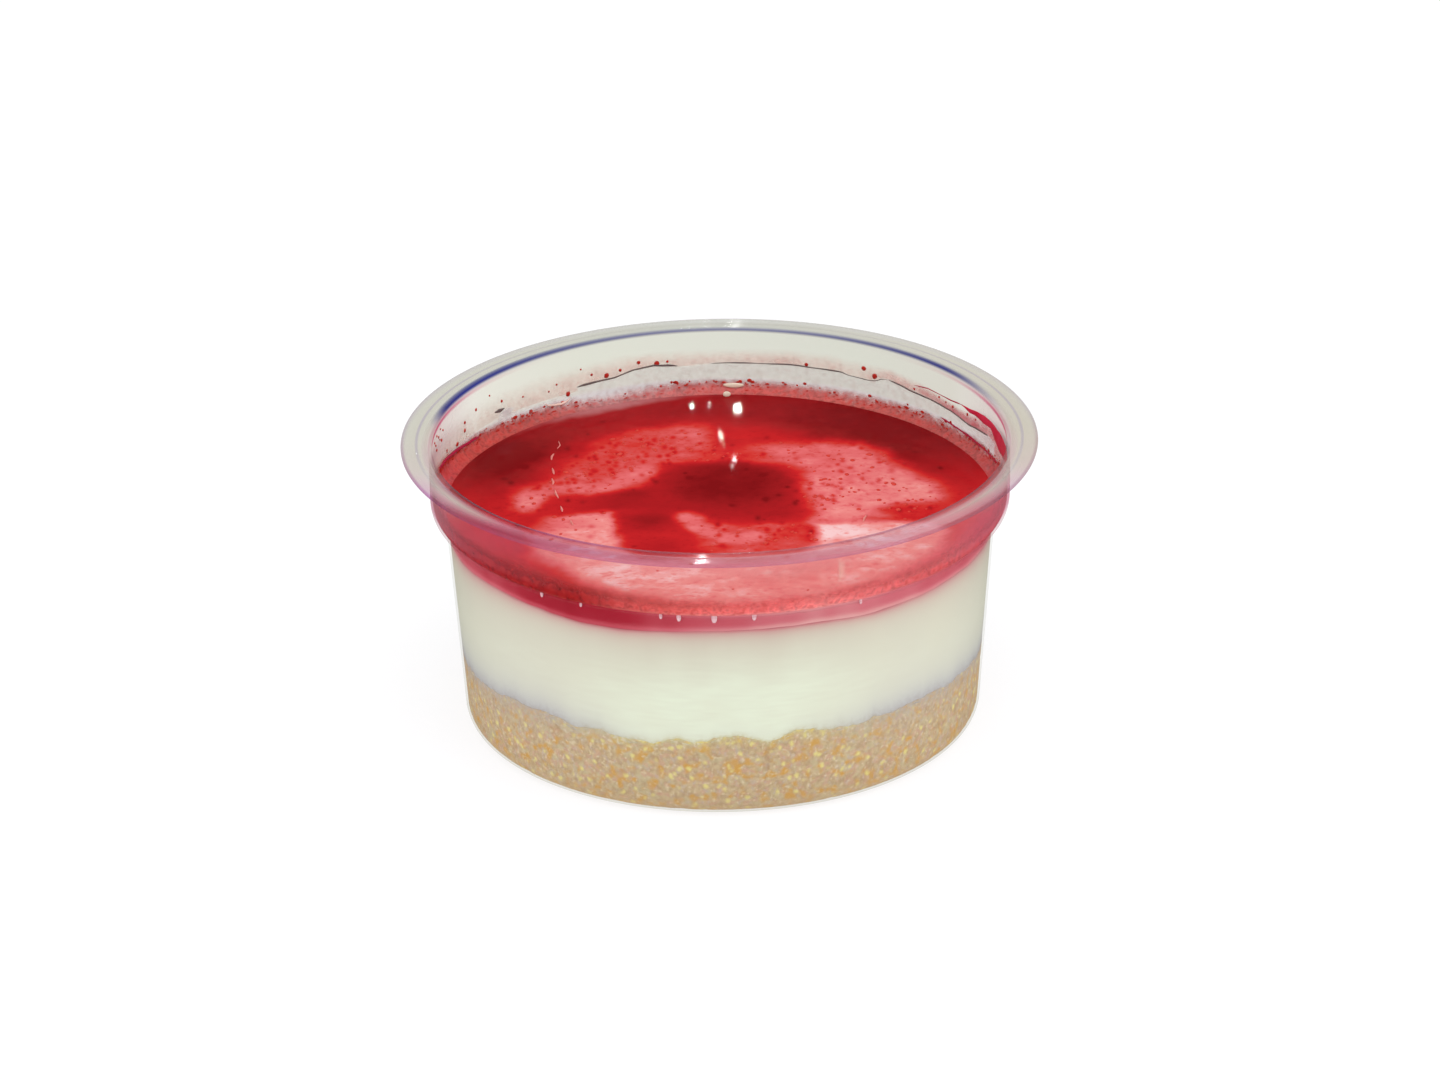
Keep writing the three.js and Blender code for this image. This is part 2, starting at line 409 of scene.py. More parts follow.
# The same where the sauce lies against the wall
SIDE_COLOURS = [
    (0.0, (226, 165, 165)), (0.35, (210, 112, 124)), (0.55, (200, 84, 98)), (0.8, (172, 38, 56)),
    (1.0, (150, 20, 36)),
]


def sauce_material():
    """Wet strawberry sauce, coloured by its depth, mottled with fine pulp where it is thin."""
    shader = material_shader("strawberry_sauce")
    wide = {"stretch": (0.7, 1.0, 1.0), "detail": 3.0}
    cloud = shader.patches(3.0, 0.3, 0.7, -0.05, 0.05, **wide)
    grain = shader.patches(0.7, 0.54, 0.72, 0.0, 0.10, **wide)
    thin = shader.span("tone", 0.55, 0.8, 1.0, 0.35)
    pulp = shader.math("MULTIPLY", shader.math("ADD", cloud, grain), thin)
    top = shader.ramp(shader.math("ADD", "tone", pulp, clamp=True), SAUCE_COLOURS)
    colour = shader.mix("side", top, shader.ramp("tone", SIDE_COLOURS))
    dull = shader.mix(shader.noise(1.0), shade(176, 94, 96), shade(190, 124, 126))
    ripple = shader.bump(shader.noise(2.5, detail=1.0), 0.02, 0.015)
    return shader.food(shader.mix("thin", colour, dull), 0.02, ripple, specular=0.04)


def cheesecake_material():
    """Smooth cheesecake with faint level streaks and pink near the sauce, with painted shade: darker
    towards its top, darker at the sides and grey near the crumb.
    """
    shader = material_shader("cheesecake")
    # Painted shade: the upper colour is partly shade under the flange, the colours at the sides are
    # darker as shade there, and the seam is greyer at the sides as shade above the crumb.
    upper = shader.mix("aside", shade(211, 203, 187), shade(212, 207, 191))
    middle = shader.mix("aside", shade(232, 238, 218), shade(221, 220, 203))
    seam = shader.mix("aside", shade(206, 198, 160), shade(179, 172, 168))
    body = shader.mix(shader.span("height", 0.45, 1.0), middle, upper)
    streaks = shader.patches(5.0, 0.35, 0.65, 0.0, 0.2, stretch=(1.0, 1.0, 7.0), detail=3.0)
    clouds = shader.patches(9.0, 0.5, 0.75, 0.0, 0.25, detail=1.0)
    body = shader.cover(body, (streaks, (214, 210, 192)), (clouds, (222, 219, 199)),
                        ("shadow", (184, 184, 195)))
    body = shader.cover(shader.mix(shader.grainy("blend"), body, seam), ("pink", (205, 120, 130)))
    return shader.food(body, 0.5, shader.bump(shader.noise(1.2), 0.04, 0.4), specular=0.25)


# Mottles of the crumb, later ones over earlier: size, stretch, detail, noise where they begin and
# where they are full, their cover there and their colour
CRUMB_MOTTLES = [
    (2.1, (1.0, 1.0, 1.0), 2.0, 0.50, 0.64, 0.50, (194, 182, 148)),
    (1.3, (1.0, 1.0, 1.3), 2.0, 0.48, 0.38, 0.55, (202, 158, 138)),
    (0.8, (1.1, 1.1, 0.9), 2.0, 0.56, 0.68, 0.50, (190, 172, 164)),
    (1.5, (0.9, 0.9, 1.0), 1.5, 0.50, 0.64, 0.70, (202, 159, 98)),
    (1.5, (0.9, 0.9, 1.0), 1.5, 0.59, 0.72, 0.75, (205, 154, 74)),
    (0.6, (1.0, 1.0, 1.0), 2.0, 0.57, 0.70, 0.60, (222, 204, 172)),
]


def crumb_material():
    """Pressed crumbs: soft beige mottles, golden blotches and small pale yellow grains, with painted
    shade in the pits and on the top edge at the sides.
    """
    shader = material_shader("biscuit_crumb")
    beige = shader.patches(0.7, 0.36, 0.64, detail=3.0)
    base = shader.mix(beige, shade(181, 153, 121), shade(200, 176, 141))
    for size, stretch, detail, begin, full, cover, colour in CRUMB_MOTTLES:
        mottles = shader.patches(size, begin, full, 0.0, cover, stretch=stretch, detail=detail)
        base = shader.cover(base, (mottles, colour))
    yellow = shader.span(shader.spots(1.8, 0.5), 0.10, 0.30, 0.8, 0.0)
    base = shader.cover(base, (yellow, (226, 212, 136)), ("foot", (216, 184, 144)))
    grains = shader.patches(0.6, 0.52, 0.64, 0.0, 0.7)
    # The top edge is darker grey at the sides (aside), painted shade there.
    crest = shader.cover(shade(196, 186, 144), (shader.patches(1.4, 0.46, 0.62), (222, 206, 120)),
                         (grains, (222, 220, 196)), ("aside", (179, 168, 160)))
    # The pits are darker brown, painted shade in the hollows.
    base = shader.cover(shader.mix(shader.grainy("crest"), base, crest), ("pit", (176, 138, 100)))
    relief = shader.bump(shader.noise(0.9, detail=3.0), 0.06, 0.25)
    return shader.food(base, 0.85, relief, specular=0.15)


def film_material(name, grains):
    """A thin wet film, as dense and of the colour that the mesh says, so grainy and flecked."""
    shader = material_shader(name)
    uneven = shader.patches(0.9, 0.35, 0.65, 1.0 - grains, 1.0 + grains, detail=3.0)
    cover = shader.math("MULTIPLY", "cover", uneven, clamp=True)
    mottle = shader.patches(1.1, 0.35, 0.65, 0.92, 1.08, detail=3.0)
    grey = shader.add("CombineColor", {0: mottle, 1: mottle, 2: mottle})
    body = shader.mix(1.0, shader.attribute("film_colour", "Color"), grey, "MULTIPLY")
    flecks = shader.patches(0.9, 0.54, 0.66, 0.0, 1.5 * grains)
    body = shader.cover(body, (flecks, (182, 46, 40)))
    return shader.food(body, 0.25, specular=0.12, alpha=cover)


# Looks of the small bits: two colours, size of the mottles of the two, roughness and specular
BITS = {
    "wall_film_edge": ((84, 74, 76), (120, 104, 100), 0.8, 0.3, 0.3),
    "shoulder_film_edge": ((160, 14, 52), (190, 36, 76), 0.8, 0.3, 0.3),
    # The pale curl is a painted highlight.
    "pale_curl_highlight": ((232, 190, 180), (246, 218, 204), 0.8, 0.2, 0.3),
    "wall_specks": ((156, 30, 28), (208, 60, 46), 1.5, 0.4, 0.1),
    "wall_smear": ((188, 14, 44), (214, 60, 92), 2.0, 0.3, 0.3),
    # The pale bubbles on the shoulder are partly painted highlights.
    "shoulder_bubbles_and_glints": ((226, 176, 186), (250, 226, 228), 0.8, 0.15, 0.3),
    # The pale beads at the sauce's back edge are painted glints.
    "painted_edge_glints": ((246, 226, 206), (253, 250, 226), 0.8, 0.15, 0.3),
    # The pale dashes on the sauce are a painted reflection.
    "painted_reflection_dashes": ((222, 118, 112), (238, 160, 150), 0.8, 0.3, 0.3),
    "sauce_specks": ((200, 54, 48), (218, 78, 66), 3.0, 0.4, 0.05),
}


def add_bits(name, mesh):
    """Adds small bits of fruit and sauce, given as points and faces."""
    low, high, size, roughness, specular = BITS[name]
    shader = material_shader(name)
    colour = shader.mix(shader.noise(size), shade(*low), shade(*high))
    material = shader.food(colour, roughness, specular=specular)
    add_piece(name, (*mesh, {}), material)


def add_film(name, rings, cover, colour, grains):
    """Adds a thin film of sauce as a hoop, with its cover and displayed colour by point."""
    solid = hoop_solid(rings, {"cover": cover, "film_colour": shades(colour)})
    add_piece(name, solid, film_material(name, grains))


def add_layer(name, parts, fields, material, replaced):
    """Adds a solid layer. Its parts are the rings of its underside, from the middle outwards, of its
    side, from below, and of its top, from the middle outwards. A field has a value for each part."""
    under, side, top = parts
    values = {}
    for key, three in fields.items():
        below, beside, above = (np.broadcast_to(value, part.shape[:2])
                                for value, part in zip(three, parts))
        values[key] = np.concatenate([below, beside, above[::-1]])
    solid = closed_solid(np.concatenate([under, side, top[::-1]]), values)
    add_piece(name, solid, material, replaced)


# The clear cup

CUP_SEGMENTS = 256

# The plastic's looks are tables by angle from the front, in per cent.
# Light that the flange, its outer edge and its inner edge let through: red, green, blue
FLANGE_TINT = [
    (-90, (80, 79, 73)), (-75, (78, 75, 71)), (-60, (76, 62, 74)), (-45, (80, 68, 86)),
    (-30, (81, 75, 93)), (0, (86, 87, 97)), (30, (87, 88, 97)), (45, (86, 82, 91)), (60, (80, 72, 80)),
    (75, (78, 73, 69)), (90, (79, 76, 69)), (135, (80, 79, 73)), (180, (76, 77, 73)),
    (225, (80, 80, 74)),
]
EDGE_TINT = [
    (-95, (72, 68, 70)), (-75, (66, 52, 60)), (-60, (68, 42, 66)), (-45, (82, 48, 76)),
    (-20, (84, 64, 80)), (30, (82, 62, 78)), (60, (68, 54, 64)), (85, (70, 62, 60)),
    (100, (74, 70, 70)), (180, (86, 86, 84)),
]
INNER_TINT = [
    (-100, (86, 84, 82)), (-85, (86, 84, 82)), (-75, (86, 80, 82)), (-65, (50, 32, 64)),
    (-55, (46, 30, 68)), (-40, (70, 48, 84)), (0, (88, 86, 94)), (30, (80, 68, 76)), (40, (78, 64, 78)),
    (60, (66, 48, 74)), (75, (84, 80, 82)), (100, (86, 84, 82)),
]
# What the flange lets through near its inner edge, compared with the rest of it
FLANGE_INNER = [
    (-72, (100, 100, 100)), (-60, (82, 66, 96)), (-45, (100, 96, 100)), (-30, (80, 68, 74)),
    (-15, (100, 100, 100)), (10, (100, 100, 100)), (20, (86, 86, 90)), (30, (80, 62, 62)),
    (38, (78, 62, 64)), (50, (78, 64, 90)), (62, (100, 100, 100)),
]
# Light that the upright band and the shoulder under it let through
BAND_TINT = [
    (-125, (78, 77, 69)), (-95, (86, 80, 80)), (-80, (88, 62, 78)), (-62, (94, 80, 90)),
    (-45, (96, 94, 94)), (45, (96, 94, 94)), (62, (94, 84, 92)), (80, (90, 66, 80)), (95, (84, 78, 78)),
    (125, (68, 66, 59)), (150, (68, 69, 61)), (180, (71, 72, 64)), (210, (73, 74, 65)),
]
SHOULDER_TINT = [
    (-120, (74, 70, 69)), (-95, (92, 88, 88)), (-60, (100, 96, 97)), (60, (100, 96, 97)),
    (95, (92, 88, 88)), (120, (74, 70, 69)), (180, (72, 70, 69)),
]
# Haze of the flange at radii of 43.9, 45.3 and 47.2, and of the band
FLANGE_HAZE = [
    (-95, (18, 20, 20)), (-75, (20, 34, 25)), (-60, (5, 68, 26)), (-45, (3, 40, 6)), (-30, (0, 6, 6)),
    (-15, (2, 10, 4)), (0, (4, 20, 12)), (15, (2, 12, 6)), (30, (2, 16, 12)), (45, (14, 45, 30)),
    (60, (12, 60, 26)), (75, (16, 34, 25)), (95, (18, 20, 20)),
]
BAND_HAZE = [
    (-120, 2), (-98, 70), (-75, 55), (-60, 22), (-45, 12), (-30, 3), (0, 0), (30, 4), (45, 10),
    (60, 28), (75, 50), (98, 70), (120, 2),
]
# Colour of the haze on the flange and on the band
FLANGE_MILK = [
    (-95, (65, 65, 62)), (-75, (70, 62, 60)), (-60, (76, 45, 52)), (-45, (80, 36, 48)),
    (-30, (86, 50, 60)), (0, (92, 60, 65)), (30, (90, 68, 72)), (45, (88, 60, 65)), (60, (82, 50, 55)),
    (75, (70, 60, 58)), (95, (65, 65, 62)),
]
BAND_MILK = [
    (-95, (42, 14, 16)), (-80, (50, 22, 25)), (-60, (62, 22, 26)), (-45, (80, 20, 24)),
    (0, (94, 62, 60)), (45, (94, 44, 46)), (60, (72, 22, 27)), (80, (62, 20, 25)), (95, (56, 14, 19)),
]
PLAIN_MILK = [(0, (65, 65, 65))]
# The table of the light let through in each zone, the haze there and the table of its colour
ZONES = {
    "foot": ([(0, (93, 93, 90))], 3, PLAIN_MILK), "wall": ([(0, (96.5, 97, 95.5))], 1, PLAIN_MILK),
    "shoulder": (SHOULDER_TINT, 0, BAND_MILK), "band": (BAND_TINT, 0, BAND_MILK),
    "flange": (FLANGE_TINT, 18, FLANGE_MILK), "ring": (FLANGE_TINT, 0, FLANGE_MILK),
    "edge": (EDGE_TINT, 20, FLANGE_MILK), "fillet": (INNER_TINT, 10, PLAIN_MILK),
    "inside": ([(0, (98, 98, 97))], 0, PLAIN_MILK),
}
# Creamy haze in the middle of the flange's top and on top of the band, the groove round the
# flange, and the flange's lines: dark blue inside its back edge, and crimson at the sides
FLANGE_CREAM = (64, 60, 54)
BAND_CREAM = (74, 68, 63)
GROOVE_LINE = (62, 58, 68)
BLUE_LINE = (3, 4, 32)
PINK_LINE = (74, 7, 26)
HAZE_MIDDLE = 45.3
HAZE_OUTWARDS = 1.9
HAZE_INWARDS = 1.4
FLANGE_TOP = CUP_HEIGHT - 0.1
# Where looks come in or go, in degrees from the front: the haze under the flange and on its edge,
# the cream on the flange and on the band, and the front of the band, whose top is hazy
UNDER_HAZE = (60.0, 88.0)
EDGE_HAZE = (60.0, 100.0)
CREAMY_FLANGE = (40.0, 55.0)
CREAMY_BAND = (55.0, 75.0)
BAND_FRONT = (20.0, 40.0)
BAND_TOP = (39.0, 41.5)  # heights
# Middle and width of the visible part of the groove, and of the haze on the shoulder, in degrees
GROOVE = (100.0, 45.0)
SHOULDER_HAZE = (20.0, 20.0)
BLUE_LINE_Z = 44.27
PINK_LINE_Z = 43.45
# Plastic above this height and inside this radius can show the flange's lines
LINES_FROM = 43.0
LINES_WITHIN = 44.0


def inside_radius(z):
    """Inside radius of the cup's lower wall at a height above the heel."""
    taper = (SHOULDER_RADIUS - FOOT_RADIUS) / (WALL_TOP - HEEL_CURVE)
    return FOOT_RADIUS + taper * (np.asarray(z, float) - HEEL_CURVE) - WALL


def gripped(z):
    """Radius that the contents reach at a height on the cup's lower wall."""
    return inside_radius(z) + GRIP


def cup_profile():
    """Zones and points of the cup's outline, from the middle of the foot, up and back down."""
    heel = FOOT_RADIUS - HEEL_CURVE
    heel_inside = HEEL_CURVE - WALL
    under_flange = CUP_HEIGHT - WALL
    fillet_radius = BAND_INSIDE + FLANGE_FILLET
    fillet_z = CUP_HEIGHT - FLANGE_FILLET
    rim_round = WALL / 2
    rim_centre = (RIM_RADIUS - rim_round, CUP_HEIGHT - rim_round)
    shoulder_inside = SHOULDER_CURVE - WALL
    band_heights = np.linspace(SHOULDER_Z, under_flange - FLANGE_FILLET, 14)[1:]
    inside_heights = (43.85, 43.7, 43.55, 43.4, 43.2, 43.0, 42.0, 40.0, 38.0)
    groove_depth = 0.06
    groove_half = 0.12
    parts = [
        ("foot", [(0.0, RECESS_DEPTH), (RECESS_RADIUS, RECESS_DEPTH),
                  (RECESS_RADIUS + RECESS_SLOPE, 0.0)]),
        ("foot", arc(heel, HEEL_CURVE, HEEL_CURVE, HEEL_CURVE, -90, 0, 10)),
        ("wall", [(inside_radius(z) + WALL, z) for z in (6.0, 14.0, 22.0, 28.0, 31.5)]),
        ("shoulder", arc(SHOULDER_RADIUS, SHOULDER_Z, SHOULDER_CURVE, SHOULDER_CURVE, -90, 0, 10)),
        ("band", [(BAND_RADIUS, z) for z in band_heights]),
        ("band", arc(BAND_RADIUS + FLANGE_FILLET, under_flange - FLANGE_FILLET, FLANGE_FILLET,
                     FLANGE_FILLET, 180, 90, 4)[1:]),
        ("flange", [(r, under_flange) for r in (44.8, 45.6, 46.4, 47.0)]),
        ("edge", arc(*rim_centre, rim_round, rim_round, -90, 90, 8)),
        ("flange", [(r, CUP_HEIGHT) for r in (47.2, 46.8, 46.4, 46.0, 45.7)]),
        ("ring", [(GROOVE_RADIUS + groove_half, CUP_HEIGHT), (GROOVE_RADIUS, CUP_HEIGHT - groove_depth),
                  (GROOVE_RADIUS - groove_half, CUP_HEIGHT)]),
        ("flange", [(r, CUP_HEIGHT) for r in (45.1, 44.7, 44.3, 43.9)]),
        ("fillet", arc(fillet_radius, fillet_z, FLANGE_FILLET, FLANGE_FILLET, 90, 180, 6)),
        ("inside", [(BAND_INSIDE, z) for z in inside_heights]),
        ("inside", arc(SHOULDER_RADIUS, SHOULDER_Z, shoulder_inside, shoulder_inside, 0, -90, 8)),
        ("inside", [(SHOULDER_INSIDE, WALL_TOP)]),
        ("inside", [(inside_radius(z), z) for z in (31.5, 22.0, 12.0, 6.0)]),
        ("inside", arc(heel, HEEL_CURVE, heel_inside, heel_inside, 0, -90, 8)),
        ("inside", [(RECESS_RADIUS + RECESS_SLOPE, WALL), (RECESS_RADIUS, RECESS_DEPTH + WALL),
                    (0.0, RECESS_DEPTH + WALL)]),
    ]
    zones = [zone for zone, points in parts for _ in points]
    return zones, [point for _, points in parts for point in points]


def blend(colours, other, share):
    """Colours by angle with another one over them, by a share of it at each angle."""
    return lerp(colours, np.array(other, float), share[:, None])


def edge_lines(angle, height, on_flange):
    """Strength of the blue and the crimson line at the flange's inner edge, at a height."""
    around = np.abs(angle)
    sideways = near(around, 118.0, 38.0)
    left = np.where(angle < 0, 1.0, 0.0)
    behind = smoothstep(angle, 97.0, 128.0) + smoothstep(-angle, 95.0, 107.0)
    width = lerp(0.18, 0.40, sideways * lerp(0.6, 1.0, left))
    blue = behind * lerp(0.7, 1.0, sideways) * near(height, BLUE_LINE_Z, width)
    if on_flange:
        blue = blue * lerp(0.35, 0.8, sideways * left)
    pink = smoothstep(around, 66.0, 76.0) * near(around, 96.0, 24.0) * near(height, PINK_LINE_Z, 0.32)
    return blue, pink


def plastic_look(zone, radius, height, angle):
    """Tint, haze and the haze's colour round one ring of the cup's outline, in per cent."""
    around = np.abs(angle)
    tints, cloud, milks = ZONES[zone]
    tint = round_colours(angle, tints)
    milk = round_colours(angle, milks)
    haze = np.full(angle.shape, float(cloud))
    if zone == "ring":
        tint = blend(tint, GROOVE_LINE, near(around, *GROOVE))
    if zone == "flange":
        haze = haze * smoothstep(around, *UNDER_HAZE)
    if zone in ("flange", "ring") and height > FLANGE_TOP:
        outer = np.clip((radius - HAZE_MIDDLE) / HAZE_OUTWARDS, 0.0, 1.0)
        inner = np.clip((HAZE_MIDDLE - radius) / HAZE_INWARDS, 0.0, 1.0)
        haze = round_colours(angle, FLANGE_HAZE) @ np.array([inner, 1.0 - inner - outer, outer])
        tint = tint * lerp(1.0, round_colours(angle, FLANGE_INNER) / 100.0, inner)
        cream = near(radius, HAZE_MIDDLE, 0.9) * smoothstep(around, *CREAMY_FLANGE)
        milk = blend(milk, FLANGE_CREAM, cream)
    if zone == "edge":
        haze = lerp(12.0, haze, smoothstep(around, *EDGE_HAZE))
    if zone == "band":
        top = smoothstep(height, *BAND_TOP)
        haze = haze + round_table(angle, BAND_HAZE) + 12.0 * top * (1.0 - smoothstep(around, *BAND_FRONT))
        milk = blend(milk, BAND_CREAM, top * smoothstep(around, *CREAMY_BAND))
    if zone == "shoulder":
        haze = haze + 0.3 * round_table(angle, BAND_HAZE) + 5.0 * near(angle, *SHOULDER_HAZE)
    if height > LINES_FROM and radius < LINES_WITHIN and zone in ("flange", "fillet", "inside"):
        blue, pink = edge_lines(angle, height, zone == "flange")
        tint = blend(blend(tint, BLUE_LINE, blue), PINK_LINE, pink)
        haze = haze * (1.0 - blue)
    return tint, haze, milk


def make_cup():
    zones, profile = cup_profile()
    _, angle = compass(CUP_SEGMENTS)
    looks = [plastic_look(zone, *point, angle) for zone, point in zip(zones, profile)]
    values = {key: np.array(field) / 100.0 for key, field in zip(("tint", "haze", "milk"), zip(*looks))}
    solid = closed_solid(spin(profile, CUP_SEGMENTS), values)
    add_piece("clear_cup", solid, clear_plastic_material(), "cup")


# The sauce's pattern of depth. A shape is painted over those before it with its tone, 0 where
# the sauce is thinnest and 1 where it is deepest, and its edge is as soft as soft says.

# Radius where the deep ring starts and its tone, by angle from the front
RING_START = [
    (-180, 30.5), (-150, 31), (-120, 30), (-90, 31.5), (-60, 33), (-30, 37), (0, 39), (30, 39), (60, 37),
    (90, 33.5), (120, 30), (150, 28.5),
]
RING_TONE = [
    (-180, 0.87), (-165, 0.84), (-150, 0.82), (-135, 0.88), (-120, 0.99), (-105, 0.9), (-90, 0.68),
    (-75, 0.6), (-60, 0.76), (-45, 0.97), (-30, 0.95), (-15, 0.62), (0, 0.42), (15, 0.45), (30, 0.5),
    (45, 0.6), (60, 0.6), (75, 0.52), (90, 0.6), (105, 0.78), (120, 0.95), (135, 1), (150, 0.98),
    (165, 0.9),
]
BETWEEN_TONE = 0.67
# Outlines of the shapes in plan, as corners (x, y), and lines along three of them
RIGHT_RIDGE = [
    (6, 19.9), (10, 20.6), (16, 21.2), (22, 20.8), (24.6, 18), (26, 14.5), (28.4, 11), (31, 8), (33, 4.8),
    (34.4, 0.8), (33.4, -2.2), (30, -3), (26.5, -3.6), (24.5, -5), (25, -7.5), (20, -9.5), (13.4, -9),
    (13.4, -5), (13.2, -2), (12.8, 1), (12.4, 4), (12.2, 8), (12.4, 10.5), (11, 12.6), (9.5, 14), (6, 15),
]
LEFT_RIDGE = [
    (-2, 29), (-5, 29.8), (-8, 28.8), (-12, 27.6), (-16, 25), (-19.2, 21.4), (-20.6, 18), (-22, 14.6),
    (-24, 10.4), (-26, 7.2), (-29, 6.4), (-31, 5), (-31.4, 1), (-31.6, -2), (-29.5, -4.6), (-27.3, -3.4),
    (-26, -1), (-25.4, 1.2), (-23.6, 2.4), (-20, 1.8), (-17, 2.6), (-13.4, 4.6), (-11, 7), (-9.4, 10),
    (-8.6, 13), (-6, 13.8), (-3, 14.4), (0, 15), (-0.3, 18), (-1.2, 22), (-1.6, 26),
]
LINK = [(-4, 19.5), (2, 19.2), (7, 19.8), (10, 17), (10, 14.2), (5, 14.4), (0, 15), (-4, 14.6)]
FRONT_RIDGE = [
    (-29, -10), (-25.5, -6), (-20.5, -4.6), (-17, -3.8), (-15.8, -4.6), (-15.5, -12), (-14, -17),
    (-13, -20), (-6, -21.8), (0, -22), (6, -21.5), (11, -19.5), (14, -16.5), (14.2, -12), (13.5, -9.4),
    (20, -9.2), (26, -9.2), (31, -9), (34, -12), (33, -20), (30, -26), (25, -31.5), (16, -37), (6, -39.5),
    (-4, -39.5), (-13, -36.5), (-19, -33), (-24, -27), (-28, -20),
]
POOL = [
    (-8.8, 10.8), (-6.6, 12.6), (-3.4, 13.8), (0, 14.2), (4, 13.9), (7.4, 12.6), (10, 10.4), (11.6, 7.4),
    (12, 3), (12.6, -1), (13, -5), (12.6, -8), (11, -9), (7, -9), (4, -9.6), (1, -9.2), (-2, -7),
    (-4, -5), (-6.2, -4.5), (-9, -4), (-16, -3), (-11, 2), (-10.4, 7),
]
LEFT_ARM = [
    (-25.2, 1.2), (-20, 1.5), (-17, 2.4), (-13, 4.2), (-9, 5), (-8, -4.2), (-15, -3.8), (-17, -3.4),
    (-20, -4.2), (-24, -5.4), (-27, -4.4), (-26, -1),
]
FRONT_ARM = [
    (-15.4, -3.8), (-15.0, -12), (-14, -17), (-12, -20.5), (-6, -21.5), (-2.6, -18.4), (-3.6, -14.6),
    (-5.6, -11), (-6, -6), (-6, -2), (-12, -1),
]
FRONT_LOBE = [
    (-3.4, -14), (-2.6, -18), (-1, -21.5), (4, -21.8), (10, -20), (12.8, -16.5), (12.9, -12),
    (13.1, -9.2), (10, -8.5), (4, -9), (0, -9), (-3, -7), (-5.5, -6),
]
CRESCENT = [(-4.9, -6.6), (-4.4, -8.6), (-3.2, -11), (-1.4, -13.2), (1.2, -14.4), (4.6, -14.6)]
LIGHT_BLOB = [(-17, 4.8), (-14.6, 7.4), (-11.4, 10.6)]
CROSSING = [(27.5, -5.6), (31, -5.2), (35, -4.2)]

# Soft spots that shift the tone between the shapes and in them: amount, x, y, reach
BETWEEN_SPOTS = [(-0.12, -23, 14, 4.5), (-0.06, 4, 22, 4), (0.10, -33, 17, 5)]
RIGHT_SPOTS = [(0.09, 13, 17, 7), (0.05, 18, 10, 8), (-0.04, 30, 1, 4), (0.10, 14, -1, 3)]
LEFT_SPOTS = [(-0.10, -5, 27, 4), (-0.06, -3, 18, 4), (-0.20, -29, 0, 4), (-0.12, -22, 5, 4)]
FRONT_SPOTS = [(-0.09, 16.5, -13.5, 4.2), (-0.06, 24, -13, 7), (-0.04, -14, -27, 8),
               (0.02, 8, -33, 9), (0.30, -28, -8, 4), (0.06, -21, -8, 3)]
ARM_SPOTS = [(0.26, -10.5, -7.5, 4), (0.12, -9, -18.5, 3.5)]
LOBE_SPOTS = [(-0.05, 5, -13, 4), (0.12, 10.5, -13.5, 3), (0.25, 0.5, -16.8, 0.9), (0.12, -2.6, -15, 2)]

# Where seeds show through the thin sauce: middle, reach, number
SEED_CLUSTERS = [
    (-12, 20, 5, 44), (-18, 11, 4, 26), (-24, 6, 4, 14), (22, 10, 5.5, 30), (15, 2, 2.5, 18),
    (27, -4, 4, 8), (8, -14, 4, 16), (-20, -7, 5, 10), (2, 18, 4, 10),
]

# Seeds that lie deep in the sauce
DARK_SPOTS = [
    (-29.9, 13.4), (-1, 5.2), (6.5, 9), (2.4, -2.6), (-4.6, 8.4), (-33, 9), (20, 30), (-18, 31), (9, 1),
]


def line_distance(x, y, line):
    """Distance of each point from an open line."""
    nearest = np.full(x.shape, 1e9)
    for (ax, ay), (bx, by) in zip(line, line[1:]):
        share = ((x - ax) * (bx - ax) + (y - ay) * (by - ay)) / ((bx - ax) ** 2 + (by - ay) ** 2)
        share = np.clip(share, 0.0, 1.0)
        nearest = np.minimum(nearest, np.hypot(x - ax - share * (bx - ax), y - ay - share * (by - ay)))
    return nearest


def outline_distance(x, y, outline):
    """Distance of each point from an outline, negative inside it."""
    closed = outline + outline[:1]
    inside = np.zeros(x.shape, bool)
    for (ax, ay), (bx, by) in zip(closed, closed[1:]):
        if ay != by:
            crossing = (ay > y) != (by > y)
            inside ^= crossing & (x < ax + (y - ay) * (bx - ax) / (by - ay))
    nearest = line_distance(x, y, closed)
    return np.where(inside, -nearest, nearest)


def spots(x, y, rows):
    """The sum of soft round spots, given as rows of amount, x, y and reach."""
    total = np.zeros(x.shape)
    for amount, middle_x, middle_y, reach in rows:
        total += amount * np.exp(-((x - middle_x) ** 2 + (y - middle_y) ** 2) / reach ** 2)
    return total


